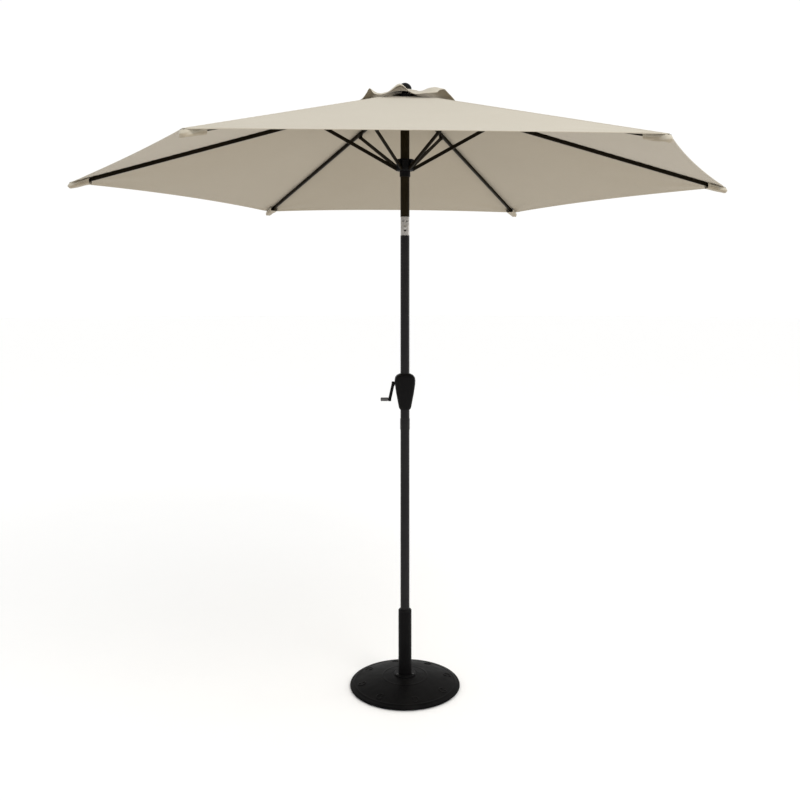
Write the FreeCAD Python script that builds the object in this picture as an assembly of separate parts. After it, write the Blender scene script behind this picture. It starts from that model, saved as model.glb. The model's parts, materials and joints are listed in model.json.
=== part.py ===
import FreeCAD, Part
import math
import os
from FreeCAD import Vector

# Patio umbrella on a round weighted base, in millimetres, +Z up.
# The origin is the centre of the base's underside. The crank is on the -X side.

# Base weight and its feet
base_radius = 229.0
base_edge_height = 13.0
base_edge_round = 5.0
base_hub_height = 46.0
base_hub_radius = 52.0
base_dome_share = 1.24
base_edge_bow = 0.293
foot_height = 3.0
foot_radius = 16.0
foot_circle = 196.0
foot_count = 6
foot_round = 1.0

# Upright tube of the base
stem_radius = 27.5
stem_wall = 2.0
stem_top = 312.0
flange_radius = 44.0
flange_height = 6.0
flange_screw_circle = 36.0
flange_screw_radius = 2.5
flange_screw_length = 20.0
flange_screw_head = 4.75
flange_screw_head_height = 3.0
flange_screw_count = 3
cap_height = 8.0
reducer_depth = 60.0
reducer_height = 40.0
pole_clearance = 0.3

# Clamp screw at the back of the stem
clamp_height = 240.0
clamp_screw_radius = 4.0
clamp_boss_radius = 9.0
clamp_boss_length = 10.0
knob_gap = 2.5
knob_radius = 21.0
knob_depth = 16.0
knob_lobes = 5
knob_lobe_round = 2.5
knob_edge_round = 1.6
knob_collar_radius = 8.0
knob_collar_length = 2.0
knob_bore_share = 0.6

# Poles
pole_radius = 19.0
pole_wall = 1.5
pole_bottom = 52.0
plug_flange = 4.0
plug_spigot = 24.0
socket_bottom = 1072.0
socket_top = 1116.0
socket_wall = 1.2
socket_seat = 3.0
joiner_wall = 1.5
joiner_length = 150.0
knuckle_bottom = 1882.0
knuckle_top = 1960.0
pole_top = 2446.0
spigot_length = 40.0

# Crank housing and crank
housing_bottom = 1155.0
housing_top = 1304.0
housing_wall = 2.5
housing_corner = 17.0
housing_half_width = 43.0
housing_half_depth = 31.0
housing_lip = 8.0
housing_bearing_radius = 9.0
crank_height = 1262.0
crank_shaft_radius = 5.0
crank_throw = 65.0
crank_hub_radius = 9.0
crank_hub_end = 52.0
crank_arm_width = 8.5
crank_arm_depth = 11.0
crank_arm_round = 2.5
shaft_seat = 1.5
shaft_end = 38.0
crank_grip_start = 70.5
crank_reach = 102.0
grip_radius = 5.8
grip_end_slope = 1.1
grip_counterbore = 4.2
grip_counterbore_depth = 3.0
grip_pin_radius = 2.5
grip_pin_seat = 8.0
grip_screw_head = 4.0
drum_radius = 8.0
drum_flange_radius = 12.0
drum_half_length = 10.0
brake_wire_radius = 0.7
brake_pitch = 2.0
brake_length = 11.0
brake_offset = 4.0
housing_screw_radius = 1.6
housing_screw_head = 3.2
housing_screw_head_height = 2.4
housing_screw_boss = 4.6
housing_screw_depth = 20.0

# Tilt knuckle
knuckle_radius = 18.0
tilt_height = 1916.0
tilt_ear_reach = 28.0
tongue_half_width = 4.5
tongue_reach = 17.0
tilt_pin_radius = 4.0
button_radius = 4.0
button_travel = 3.0
button_proud = 1.0
button_nose_radius = 2.2
button_above_knuckle = 7.5
pawl_radius = 4.8
pawl_above_spigot = 22.0
pawl_window = 2.6
pawl_gap = 0.4
spring_seat = 6.0
spring_wire_radius = 0.5
spring_pitch = 2.6

# Top hub, pulley, finial
rib_count = 6
hub_pivot_radius = 42.0
hub_pivot_height = 2456.0
hub_radius = 51.0
hub_half_height = 13.0
hub_boss_radius = 12.0
hub_skirt = 14.0
hub_pin_length = 20.0
rib_pin_radius = 2.0
pulley_radius = 12.0
pulley_half_width = 3.5
pulley_height = 2400.0
pulley_pin_radius = 2.5
pulley_groove = 3.5
pulley_slot_above = 6.0
pulley_slot_below = 22.0
pulley_spacer_wall = 2.0
finial_radius = 27.5
finial_height = 21.0
finial_skirt = 9.0
stud_radius = 4.0

# Ribs
rib_tip_radius = 1366.0
rib_slope = 15.6
rib_width = 9.0
rib_depth = 16.0
rib_wall = 1.2
rib_eye_length = 44.0
rib_cap_length = 34.0
rib_cap_wall = 1.6
rib_cap_past_tip = 6.0
rib_cap_top = 1.2
rib_cap_round = 2.5
rib_edge_round = 1.5

# Struts and runner
strut_pin_along = 342.0
strut_pin_drop = 9.5
strut_pin_radius = 2.5
strut_width = 8.0
strut_depth = 15.0
strut_end_radius = 8.0
strut_edge_round = 2.6
bracket_wall = 1.8
bracket_length = 26.0
bracket_web = 1.2
bracket_lap = 2.0
foot_pin_height = 2160.0
runner_bore_gap = 0.4
runner_neck_wall = 2.9
runner_neck_length = 24.0
runner_core_wall = 5.8
runner_foot_gap = 0.8
runner_collar_cover = 2.0
runner_collar_bottom = 2152.0
runner_flange_bottom = 2192.0
runner_flange_cover = 4.0
runner_ring_lap = 1.0
runner_top = 2200.0

# Canopy and vent cap
canopy_thickness = 1.2
canopy_gap = 2.6
canopy_overhang = 6.0
vent_hole_radius = 160.0
seam_gap = 0.6
vent_reach = 231.0
vent_apex = 2499.0
vent_hem_height = 2427.0

# Working clearances
running_gap = 0.05
side_gap = 0.3

z_axis = Vector(0, 0, 1)
x_axis = Vector(1, 0, 0)
y_axis = Vector(0, 1, 0)
origin = Vector(0, 0, 0)

# Sizes that follow from the ones above
pole_inner = pole_radius - pole_wall
pole_bore = pole_radius + pole_clearance
button_height = knuckle_bottom + button_above_knuckle
strut_pin_below = rib_depth / 2 + strut_pin_drop
runner_bore = pole_radius + runner_bore_gap
runner_neck_radius = runner_bore + runner_neck_wall
runner_core_radius = runner_bore + runner_core_wall
foot_pin_radius = runner_core_radius + strut_end_radius + runner_foot_gap
runner_collar_radius = foot_pin_radius + runner_collar_cover
runner_flange_radius = foot_pin_radius + runner_flange_cover
canopy_reach = rib_tip_radius + canopy_overhang
rib_step = 360.0 / rib_count
half_step = math.pi / rib_count


def rod(radius, start, direction, length):
    return Part.makeCylinder(radius, length, start, direction)


def upright(radius, low, high):
    return rod(radius, Vector(0, 0, low), z_axis, high - low)


def pipe(outer, inner, low, high):
    return upright(outer, low, high).cut(upright(inner, low - 1, high + 1))


def box_between(low, high):
    size = high.sub(low)
    return Part.makeBox(size.x, size.y, size.z, low)


def outline_face(points):
    return Part.Face(Part.makePolygon(points + [points[0]]))


def turned(points, centre=origin, axis=z_axis):
    return outline_face(points).revolve(centre, axis, 360)


def joined(shapes):
    return shapes[0].fuse(shapes[1:]).removeSplitter()


def around(shape, count, first=0.0):
    copies = []
    for index in range(count):
        copy = shape.copy()
        copy.rotate(origin, z_axis, first + index * 360.0 / count)
        copies.append(copy)
    return copies


def rounded_section(half_x, half_y, corner, height):
    corner = min(corner, half_x - 0.5, half_y - 0.5)
    centres = [(1, 1, 0), (-1, 1, 90), (-1, -1, 180), (1, -1, 270)]
    arcs = []
    for sign_x, sign_y, start in centres:
        centre = Vector(sign_x * (half_x - corner), sign_y * (half_y - corner), height)
        circle = Part.Circle(centre, z_axis, corner)
        arcs.append(Part.Arc(circle, math.radians(start), math.radians(start + 90)).toShape())
    edges = []
    for index, arc in enumerate(arcs):
        edges.append(arc)
        nearest = arcs[(index + 1) % 4]
        edges.append(Part.LineSegment(arc.Vertexes[1].Point, nearest.Vertexes[0].Point).toShape())
    return Part.Wire(edges)


# Base ---------------------------------------------------------------

def base_weight():
    top_start = Vector(base_hub_radius, 0, base_hub_height)
    top_end = Vector(base_radius - base_edge_round, 0, base_edge_height)
    rise = (base_hub_height - base_edge_height) / 2
    middle = Vector((top_start.x + top_end.x) / 2, 0, base_edge_height + rise * base_dome_share)
    edge_low = Vector(base_radius, 0, base_edge_height - base_edge_round)
    inset = base_edge_round * base_edge_bow
    edge_mid = Vector(base_radius - inset, 0, base_edge_height - inset)
    corners = [Vector(base_radius, 0, foot_height), Vector(0, 0, foot_height), Vector(0, 0, base_hub_height)]
    edges = [
        Part.LineSegment(corners[2], top_start).toShape(),
        Part.Arc(top_start, middle, top_end).toShape(),
        Part.Arc(top_end, edge_mid, edge_low).toShape(),
        Part.LineSegment(edge_low, corners[0]).toShape(),
        Part.LineSegment(corners[0], corners[1]).toShape(),
        Part.LineSegment(corners[1], corners[2]).toShape(),
    ]
    disc = Part.Face(Part.Wire(edges)).revolve(origin, z_axis, 360)
    pocket = upright(foot_radius + running_gap, foot_height - 1, foot_height + foot_height)
    pocket.translate(Vector(foot_circle, 0, 0))
    hole_low = base_hub_height - flange_screw_length - 2
    hole = upright(flange_screw_radius + running_gap, hole_low, base_hub_height + 1)
    hole.translate(Vector(flange_screw_circle, 0, 0))
    return disc.cut(around(pocket, foot_count) + around(hole, flange_screw_count, 90))


def base_feet():
    foot = upright(foot_radius, 0, foot_height + foot_height)
    foot = foot.makeFillet(foot_round, [edge for edge in foot.Edges if edge.BoundBox.ZMax < 0.01])
    foot.translate(Vector(foot_circle, 0, 0))
    return Part.makeCompound(around(foot, foot_count))


def stem():
    tube = pipe(stem_radius, stem_radius - stem_wall, base_hub_height, stem_top)
    hole = rod(clamp_screw_radius + side_gap, Vector(0, 0, clamp_height), y_axis, stem_radius + 5)
    return tube.cut(hole)


def stem_flange():
    top = base_hub_height + flange_height
    ring = pipe(flange_radius, stem_radius + running_gap, base_hub_height, top)
    outer = [edge for edge in ring.Edges
             if edge.BoundBox.XMax > flange_radius - 1 and edge.BoundBox.ZMin > top - 0.01]
    ring = ring.makeFillet(flange_height / 3, outer)
    hole = upright(flange_screw_radius + running_gap, 0, top + 1)
    hole.translate(Vector(flange_screw_circle, 0, 0))
    return ring.cut(around(hole, flange_screw_count, 90))


def flange_screws():
    top = base_hub_height + flange_height
    head_top = top + flange_screw_head_height
    shank = upright(flange_screw_radius, base_hub_height - flange_screw_length, top + 0.5)
    head = upright(flange_screw_head, top, head_top)
    rim = [edge for edge in head.Edges if edge.BoundBox.ZMin > head_top - 0.1]
    head = head.makeFillet(flange_screw_head_height * 0.4, rim)
    screw = joined([shank, head])
    screw.translate(Vector(flange_screw_circle, 0, 0))
    return Part.makeCompound(around(screw, flange_screw_count, 90))


def stem_cap():
    bore = pole_bore
    sleeve_radius = stem_radius - stem_wall - running_gap
    points = [
        Vector(bore, 0, stem_top - reducer_depth),
        Vector(sleeve_radius, 0, stem_top - reducer_depth),
        Vector(sleeve_radius, 0, stem_top),
        Vector(stem_radius, 0, stem_top),
        Vector(stem_radius, 0, stem_top + cap_height * 0.4),
        Vector(stem_radius - 5, 0, stem_top + cap_height),
        Vector(bore, 0, stem_top + cap_height),
    ]
    hole = rod(clamp_screw_radius + side_gap, Vector(0, 0, clamp_height), y_axis, stem_radius)
    return turned(points).cut(hole)


def stem_reducer():
    low = base_hub_height
    outer = stem_radius - stem_wall - running_gap
    sleeve = pipe(outer, pole_bore, low, low + reducer_height)
    floor = upright(outer, low, pole_bottom)
    return joined([sleeve, floor])


def clamp_boss():
    start = math.sqrt((stem_radius + running_gap) ** 2 - clamp_boss_radius ** 2) - 1
    boss_length = stem_radius + clamp_boss_length - start
    boss = rod(clamp_boss_radius, Vector(0, start, clamp_height), y_axis, boss_length)
    low = clamp_height - 2 * clamp_boss_radius
    high = clamp_height + 2 * clamp_boss_radius
    around_stem = upright(stem_radius + running_gap, low, high)
    bore = rod(clamp_screw_radius + running_gap, Vector(0, 0, clamp_height), y_axis, 2 * stem_radius)
    return boss.cut(around_stem).cut(bore)


def clamp_knob_start():
    return stem_radius + clamp_boss_length + knob_gap


def clamp_screw():
    start = pole_radius + running_gap
    end = clamp_knob_start() + knob_depth * knob_bore_share
    screw = rod(clamp_screw_radius, Vector(0, start, clamp_height), y_axis, end - start)
    rim = [edge for edge in screw.Edges if edge.BoundBox.YMax < start + 0.01]
    return screw.makeChamfer(1.0, rim)


def clamp_knob():
    start = clamp_knob_start()
    body = rod(knob_radius, Vector(0, start, clamp_height), y_axis, knob_depth)
    hollow_radius = knob_radius * 0.36
    hollows = []
    for index in range(knob_lobes):
        angle = 2 * math.pi * (index + 0.5) / knob_lobes
        reach = knob_radius + hollow_radius * 0.45
        centre = Vector(reach * math.cos(angle), start - 1, clamp_height + reach * math.sin(angle))
        hollows.append(rod(hollow_radius, centre, y_axis, knob_depth + 2))
    body = body.cut(hollows)
    corners = [edge for edge in body.Edges
               if edge.BoundBox.YLength > knob_depth - 0.1 and len(edge.Vertexes) == 2]
    body = body.makeFillet(knob_lobe_round, corners)
    ends = [edge for edge in body.Edges if edge.BoundBox.YLength < 0.01]
    body = body.makeFillet(knob_edge_round, ends)
    collar_start = start - knob_collar_length
    collar = rod(knob_collar_radius, Vector(0, collar_start, clamp_height), y_axis, knob_collar_length + 1)
    bore_length = start + knob_depth * knob_bore_share + running_gap - (collar_start - 1)
    bore = rod(clamp_screw_radius + running_gap, Vector(0, collar_start - 1, clamp_height), y_axis, bore_length)
    return joined([body, collar]).cut(bore)


# Poles --------------------------------------------------------------

def pole_plug():
    flange = upright(pole_radius, pole_bottom, pole_bottom + plug_flange)
    spigot = upright(pole_inner - running_gap, pole_bottom, pole_bottom + plug_flange + plug_spigot)
    return joined([flange, spigot])


def lower_pole():
    low = pole_bottom + plug_flange + running_gap
    inner = pole_inner
    flare = pole_radius + running_gap + socket_wall
    slope = flare - pole_radius
    points = [
        Vector(inner, 0, low),
        Vector(pole_radius, 0, low),
        Vector(pole_radius, 0, socket_bottom - 3 * slope),
        Vector(flare, 0, socket_bottom),
        Vector(flare, 0, socket_top),
        Vector(pole_radius + running_gap, 0, socket_top),
        Vector(pole_radius + running_gap, 0, socket_bottom + socket_seat),
        Vector(inner, 0, socket_bottom + socket_seat),
    ]
    return turned(points)


def pole_joiner():
    middle = socket_bottom + socket_seat
    outer = pole_inner - running_gap
    return pipe(outer, outer - joiner_wall, middle - joiner_length / 2, middle + joiner_length / 2)


def mid_pole():
    tube = pipe(pole_radius, pole_inner, socket_bottom + socket_seat + running_gap, knuckle_bottom)
    start = Vector(-pole_radius - 5, 0, crank_height)
    cross_hole = rod(crank_shaft_radius + running_gap, start, x_axis, 2 * pole_radius + 10)
    return tube.cut(cross_hole)


def top_pole():
    tube = pipe(pole_radius, pole_inner, knuckle_top, pole_top)
    start = Vector(0, -pole_radius - 5, pulley_height)
    pin_hole = rod(pulley_pin_radius + running_gap, start, y_axis, 2 * pole_radius + 10)
    slot_low = Vector(pole_inner - 3, -pulley_half_width - 1, pulley_height - pulley_slot_below)
    slot_high = Vector(pole_radius + 3, pulley_half_width + 1, pulley_height + pulley_slot_above)
    return tube.cut([pin_hole, box_between(slot_low, slot_high)])


# Crank --------------------------------------------------------------

def housing_levels():
    wide = housing_half_width
    deep = housing_half_depth
    low = housing_bottom
    high = housing_top
    neck = pole_radius + housing_wall
    return [
        (low, neck, neck),
        (low + 7, wide * 0.59, deep * 0.76),
        (low + 30, wide * 0.69, deep * 0.84),
        (low + 70, wide * 0.86, deep * 0.95),
        (high - 42, wide * 0.98, deep),
        (high - 28, wide, deep),
        (high - 15, wide * 0.95, deep * 0.97),
        (high - 6, wide * 0.79, deep * 0.87),
        (high, neck + 1.5, neck),
    ]


def housing_body(inset):
    sections = []
    levels = housing_levels()
    for index, (height, half_x, half_y) in enumerate(levels):
        if index == 0:
            height += inset
        if index == len(levels) - 1:
            height -= inset
        sections.append(rounded_section(half_x - inset, half_y - inset, housing_corner, height))
    return Part.makeLoft(sections, True, True)


def housing_screw_places():
    side = (pole_radius + housing_half_width - housing_wall) / 2 - 1.5
    low_side = side - 1.7
    high = housing_top - 19
    low = housing_bottom + 62
    return [(-side, high), (side, high), (-low_side, low), (low_side, low)]


def housing_shell(side):
    outer = housing_body(0.0)
    shell = outer.cut(housing_body(housing_wall))
    bosses = []
    holes = []
    for x, z in housing_screw_places():
        whole = Vector(x, -housing_half_depth, z)
        bosses.append(rod(housing_screw_boss, whole, y_axis, 2 * housing_half_depth).common(outer))
        tip = Vector(x, -housing_screw_depth, z)
        holes.append(rod(housing_screw_radius + running_gap, tip, y_axis, 3 * housing_half_depth))
        seat = Vector(x, housing_screw_depth, z)
        holes.append(rod(housing_screw_head + side_gap, seat, y_axis, 2 * housing_half_depth))
    collar_low = housing_bottom + housing_wall
    collars = [
        pipe(pole_radius + 3, pole_radius - 2, housing_bottom + 0.5, collar_low + housing_lip),
        pipe(pole_radius + 3, pole_radius - 2, housing_top - housing_wall - housing_lip, housing_top - 0.5),
    ]
    solid = joined([shell] + bosses + collars)
    pole_hole = upright(pole_radius + running_gap, housing_bottom - 5, housing_top + 5)
    shaft_start = Vector(-housing_half_width - 10, 0, crank_height)
    shaft_hole = rod(crank_shaft_radius + 0.1, shaft_start, x_axis, housing_half_width + 8)
    bearing_start = Vector(-housing_half_width, 0, crank_height)
    bearing = rod(housing_bearing_radius, bearing_start, x_axis, housing_lip + 1).common(outer)
    solid = joined([solid, bearing]).cut(holes + [pole_hole, shaft_hole])
    wide = 2 * housing_half_width
    low = housing_bottom - 5
    high = housing_top + 5
    if side == "front":
        half = box_between(Vector(-wide, -wide, low), Vector(wide, -running_gap / 2, high))
    else:
        half = box_between(Vector(-wide, running_gap / 2, low), Vector(wide, wide, high))
    return solid.common(half)


def housing_screws():
    screws = []
    for x, z in housing_screw_places():
        start = 1 - housing_screw_depth
        seat = housing_screw_depth + running_gap
        shank = rod(housing_screw_radius, Vector(x, start, z), y_axis, seat + 0.5 - start)
        head = rod(housing_screw_head, Vector(x, seat, z), y_axis, housing_screw_head_height)
        screws.append(joined([shank, head]))
    return Part.makeCompound(screws)


def crank_shaft():
    start = -crank_hub_end + shaft_seat
    shaft = rod(crank_shaft_radius, Vector(start, 0, crank_height), x_axis, shaft_end - start)
    ends = [edge for edge in shaft.Edges if edge.BoundBox.XLength < 0.01]
    return shaft.makeChamfer(0.6, ends)


def cord_drum():
    half = drum_half_length
    bore = crank_shaft_radius + running_gap / 2
    points = [
        Vector(-half, 0, bore),
        Vector(-half, 0, drum_flange_radius),
        Vector(-half + 2, 0, drum_flange_radius),
        Vector(-half + 2.6, 0, drum_radius),
        Vector(half - 2.6, 0, drum_radius),
        Vector(half - 2, 0, drum_flange_radius),
        Vector(half, 0, drum_flange_radius),
        Vector(half, 0, bore),
    ]
    drum = turned(points, origin, x_axis)
    drum.translate(Vector(0, 0, crank_height))
    return drum


def brake_spring():
    coil_radius = crank_shaft_radius + brake_wire_radius + 0.2
    helix = Part.makeHelix(brake_pitch, brake_length, coil_radius)
    section = Part.Wire(Part.Circle(Vector(coil_radius, 0, 0), y_axis, brake_wire_radius).toShape())
    coil = Part.Wire(helix).makePipeShell([section], True, True)
    coil.rotate(origin, y_axis, 90)
    coil.translate(Vector(pole_radius + brake_offset, 0, crank_height))
    return coil


def crank_arm():
    hub_start = Vector(-crank_hub_end, 0, crank_height)
    hub = rod(crank_hub_radius, hub_start, x_axis, crank_hub_end - housing_half_width - side_gap)
    low = crank_height - crank_throw
    outer = -crank_grip_start + side_gap
    inner = outer + crank_arm_width
    near = -crank_hub_end + crank_arm_width - 1
    start = -crank_arm_depth / 2
    outline = [
        Vector(near, start, crank_height + 4),
        Vector(-crank_hub_end, start, crank_height + 4),
        Vector(-crank_hub_end, start, crank_height - 6),
        Vector(outer, start, low + 7),
        Vector(outer, start, low - 5),
        Vector(inner, start, low - 5),
        Vector(inner, start, low + 11),
        Vector(near, start, crank_height - 8),
    ]
    bar = outline_face(outline).extrude(Vector(0, crank_arm_depth, 0))
    bar = bar.makeFillet(crank_arm_round, [edge for edge in bar.Edges if edge.BoundBox.YLength < 0.01])
    boss = rod(crank_arm_depth / 2 + 1.5, Vector(outer, 0, low), x_axis, crank_arm_width)
    arm = joined([hub, bar, boss])
    seat = Vector(-crank_hub_end + shaft_seat, 0, crank_height)
    shaft_bore = rod(crank_shaft_radius + running_gap / 2, seat, x_axis, crank_hub_end)
    pin_bore = rod(grip_pin_radius + running_gap / 2, Vector(-crank_reach, 0, low), x_axis, crank_reach)
    return arm.cut([shaft_bore, pin_bore])


def crank_grip():
    inner = -crank_grip_start
    outer = -crank_reach
    middle = (inner + outer) / 2
    bore = grip_pin_radius + running_gap
    rim = grip_radius - grip_end_slope
    inset = outer + grip_counterbore_depth
    outline = [
        Part.LineSegment(Vector(inner, 0, bore), Vector(inner, 0, rim)).toShape(),
        Part.Arc(Vector(inner, 0, rim), Vector(middle, 0, grip_radius), Vector(outer, 0, rim)).toShape(),
        Part.LineSegment(Vector(outer, 0, rim), Vector(outer, 0, grip_counterbore)).toShape(),
        Part.LineSegment(Vector(outer, 0, grip_counterbore), Vector(inset, 0, grip_counterbore)).toShape(),
        Part.LineSegment(Vector(inset, 0, grip_counterbore), Vector(inset, 0, bore)).toShape(),
        Part.LineSegment(Vector(inset, 0, bore), Vector(inner, 0, bore)).toShape(),
    ]
    grip = Part.Face(Part.Wire(outline)).revolve(origin, x_axis, 360)
    grip.translate(Vector(0, 0, crank_height - crank_throw))
    return grip


def grip_screw():
    low = crank_height - crank_throw
    shank_length = crank_reach - crank_grip_start + grip_pin_seat
    shank = rod(grip_pin_radius, Vector(-crank_reach + 1, 0, low), x_axis, shank_length)
    head_length = grip_counterbore_depth - 0.8
    head = rod(grip_screw_head, Vector(-crank_reach + 0.6, 0, low), x_axis, head_length)
    return joined([shank, head])


# Tilt knuckle -------------------------------------------------------

def tilt_lower_knuckle():
    floor = tilt_height - tongue_reach - 0.5
    barrel = upright(knuckle_radius, knuckle_bottom + running_gap, tilt_height + tilt_ear_reach + 5)
    spigot = upright(pole_inner - running_gap, knuckle_bottom - spigot_length, knuckle_bottom + 5)
    wide = knuckle_radius + 12
    crown = rod(tilt_ear_reach, Vector(-wide, 0, tilt_height), x_axis, 2 * wide)
    keep_low = upright(knuckle_radius + 5, knuckle_bottom - spigot_length - 5, tilt_height)
    fork = joined([barrel, spigot]).common(joined([crown, keep_low]))
    half_slot = tongue_half_width + side_gap
    slot = box_between(Vector(-half_slot, -wide, floor), Vector(half_slot, wide, tilt_height + 2 * wide))
    pin_hole = rod(tilt_pin_radius + running_gap, Vector(-wide, 0, tilt_height), x_axis, 2 * wide)
    pawl_bore = upright(pawl_radius + 0.1, knuckle_bottom - spigot_length + spring_seat, floor + 5)
    button_hole = rod(button_radius + 0.1, Vector(0, -wide, button_height), y_axis, wide)
    return fork.cut([slot, pin_hole, pawl_bore, button_hole])


def tilt_upper_knuckle():
    ring_bottom = tilt_height + tilt_ear_reach + 1
    ring = upright(knuckle_radius, ring_bottom, knuckle_top)
    spigot = upright(pole_inner - running_gap, ring_bottom + 3, knuckle_top + spigot_length)
    disc = rod(tongue_reach, Vector(-tongue_half_width, 0, tilt_height), x_axis, 2 * tongue_half_width)
    neck_low = Vector(-tongue_half_width, -tongue_reach + 1.5, tilt_height)
    neck_high = Vector(tongue_half_width, tongue_reach - 1.5, ring_bottom + 2)
    pin_start = Vector(-knuckle_radius, 0, tilt_height)
    pin_hole = rod(tilt_pin_radius + running_gap, pin_start, x_axis, 2 * knuckle_radius)
    return joined([ring, spigot, disc, box_between(neck_low, neck_high)]).cut(pin_hole)


def tilt_pin():
    half = knuckle_radius - 0.8
    pin = rod(tilt_pin_radius, Vector(-half, 0, tilt_height), x_axis, 2 * half)
    ends = [edge for edge in pin.Edges if edge.BoundBox.XLength < 0.01]
    return pin.makeChamfer(0.5, ends)


def tilt_button():
    start = -knuckle_radius - button_proud
    head_length = -start - pawl_radius - button_travel - 1
    head = rod(button_radius, Vector(0, start, button_height), y_axis, head_length)
    nose = rod(button_nose_radius, Vector(0, start + 2, button_height), y_axis, -start - 2)
    cap_edge = [edge for edge in head.Edges if edge.BoundBox.YMax < start + 0.01]
    return joined([head.makeFillet(1.2, cap_edge), nose])


def tilt_pawl():
    top = tilt_height - tongue_reach - pawl_gap
    low = knuckle_bottom - spigot_length + pawl_above_spigot
    pawl = upright(pawl_radius, low, top)
    window_low = Vector(-pawl_window, -2 * pawl_radius, button_height - pawl_window)
    window_high = Vector(pawl_window, 2 * pawl_radius, button_height + pawl_window + button_travel)
    return pawl.cut(box_between(window_low, window_high))


def pawl_spring():
    low = knuckle_bottom - spigot_length + spring_seat + side_gap
    high = knuckle_bottom - spigot_length + pawl_above_spigot
    height = high - low - 2 * spring_wire_radius - 0.2
    coil_radius = pawl_radius - spring_wire_radius - 0.2
    helix = Part.makeHelix(spring_pitch, height, coil_radius)
    section = Part.Wire(Part.Circle(Vector(coil_radius, 0, 0), y_axis, spring_wire_radius).toShape())
    coil = Part.Wire(helix).makePipeShell([section], True, True)
    coil.translate(Vector(0, 0, low + spring_wire_radius))
    return coil


# Top hub ------------------------------------------------------------

def top_hub():
    low = hub_pivot_height - hub_half_height
    high = hub_pivot_height + hub_half_height
    boss_top = hub_boss_top()
    points = [
        Vector(0, 0, low - hub_skirt),
        Vector(pole_radius + 4, 0, low - hub_skirt),
        Vector(pole_radius + 5, 0, low),
        Vector(hub_radius, 0, low),
        Vector(hub_radius, 0, high - 3),
        Vector(hub_radius - 6, 0, high),
        Vector(hub_boss_radius + 3, 0, high + 4),
        Vector(hub_boss_radius, 0, boss_top),
        Vector(0, 0, boss_top),
    ]
    body = turned(points)
    half_slot = rib_width / 2 + side_gap
    slot_start = hub_pivot_radius - rib_depth / 2 - 1.5
    slot_high = Vector(hub_radius + 10, half_slot, boss_top + 10)
    slot = box_between(Vector(slot_start, -half_slot, low - 2 * hub_skirt), slot_high)
    pin_start = Vector(hub_pivot_radius, -hub_pin_length / 2 - 0.5, hub_pivot_height)
    pin_hole = rod(rib_pin_radius + running_gap, pin_start, y_axis, hub_pin_length + 1)
    pole_hole = upright(pole_radius + running_gap, low - hub_skirt - 6, pole_top + running_gap)
    stud_hole = upright(stud_radius + running_gap, pole_top - 1, boss_top + 1)
    return body.cut(around(slot, rib_count) + around(pin_hole, rib_count) + [pole_hole, stud_hole])


def vent_slope():
    return (vent_apex - vent_hem_height) / vent_reach


def hub_boss_top():
    steepest = vent_slope() / math.cos(half_step)
    return vent_apex - steepest * (hub_boss_radius + 3) - side_gap


def hub_pins():
    start = Vector(hub_pivot_radius, -hub_pin_length / 2, hub_pivot_height)
    pin = rod(rib_pin_radius, start, y_axis, hub_pin_length)
    return around(pin, rib_count)


def cord_pulley():
    half = pulley_half_width
    bore = pulley_pin_radius + running_gap
    points = [
        Vector(bore, -half, 0),
        Vector(pulley_radius, -half, 0),
        Vector(pulley_radius - 0.4, -half + 1, 0),
        Vector(pulley_radius - pulley_groove, -half / 3, 0),
        Vector(pulley_radius - pulley_groove, half / 3, 0),
        Vector(pulley_radius - 0.4, half - 1, 0),
        Vector(pulley_radius, half, 0),
        Vector(bore, half, 0),
    ]
    wheel = turned(points, origin, y_axis)
    wheel.translate(Vector(0, 0, pulley_height))
    return wheel


def pulley_pin():
    half = pole_radius - 0.2
    pin = rod(pulley_pin_radius, Vector(0, -half, pulley_height), y_axis, 2 * half)
    spacers = []
    for side in (-1, 1):
        start = pulley_half_width + side_gap if side > 0 else -pole_inner + 0.6
        length = pole_inner - 0.6 - pulley_half_width - side_gap
        centre = Vector(0, start, pulley_height)
        spacers.append(rod(pulley_pin_radius + pulley_spacer_wall, centre, y_axis, length))
    return joined([pin] + spacers)


def finial():
    seat = vent_apex + canopy_thickness + side_gap
    rim = seat - vent_slope() * finial_radius
    shoulder = rim + finial_skirt
    crown = seat + finial_height
    skirt = turned([
        Vector(0, 0, seat),
        Vector(finial_radius, 0, rim),
        Vector(finial_radius, 0, shoulder),
        Vector(0, 0, shoulder),
    ])
    rise = crown - shoulder
    dome_radius = (finial_radius ** 2 + rise ** 2) / (2 * rise)
    ball = Part.makeSphere(dome_radius, Vector(0, 0, crown - dome_radius))
    dome = ball.common(upright(finial_radius, shoulder, crown + 1))
    stud = upright(stud_radius, pole_top + 3, seat + 1)
    return joined([skirt, dome, stud])


# Ribs and struts: each is made along +X and then turned to its place ---

def rib_place(shape):
    shape.rotate(origin, y_axis, rib_slope)
    shape.translate(Vector(hub_pivot_radius, 0, hub_pivot_height))
    return shape


def rib_length():
    return (rib_tip_radius - hub_pivot_radius) / math.cos(math.radians(rib_slope))


def rib_beam():
    half_w = rib_width / 2
    half_d = rib_depth / 2
    length = rib_length()
    wall = rib_wall
    tube = box_between(Vector(rib_eye_length - 10, -half_w, -half_d), Vector(length, half_w, half_d))
    long_edges = [edge for edge in tube.Edges if edge.BoundBox.XLength > 100]
    tube = tube.makeFillet(rib_edge_round, long_edges)
    hollow_low = Vector(rib_eye_length, -half_w + wall, -half_d + wall)
    tube = tube.cut(box_between(hollow_low, Vector(length + 5, half_w - wall, half_d - wall)))
    root = box_between(Vector(0, -half_w, -half_d), Vector(rib_eye_length - 10, half_w, half_d))
    eye = rod(half_d, Vector(0, -half_w, 0), y_axis, rib_width)
    hole = rod(rib_pin_radius + running_gap, Vector(0, -20, 0), y_axis, 40)
    return rib_place(joined([tube, root, eye]).cut(hole))


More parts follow.
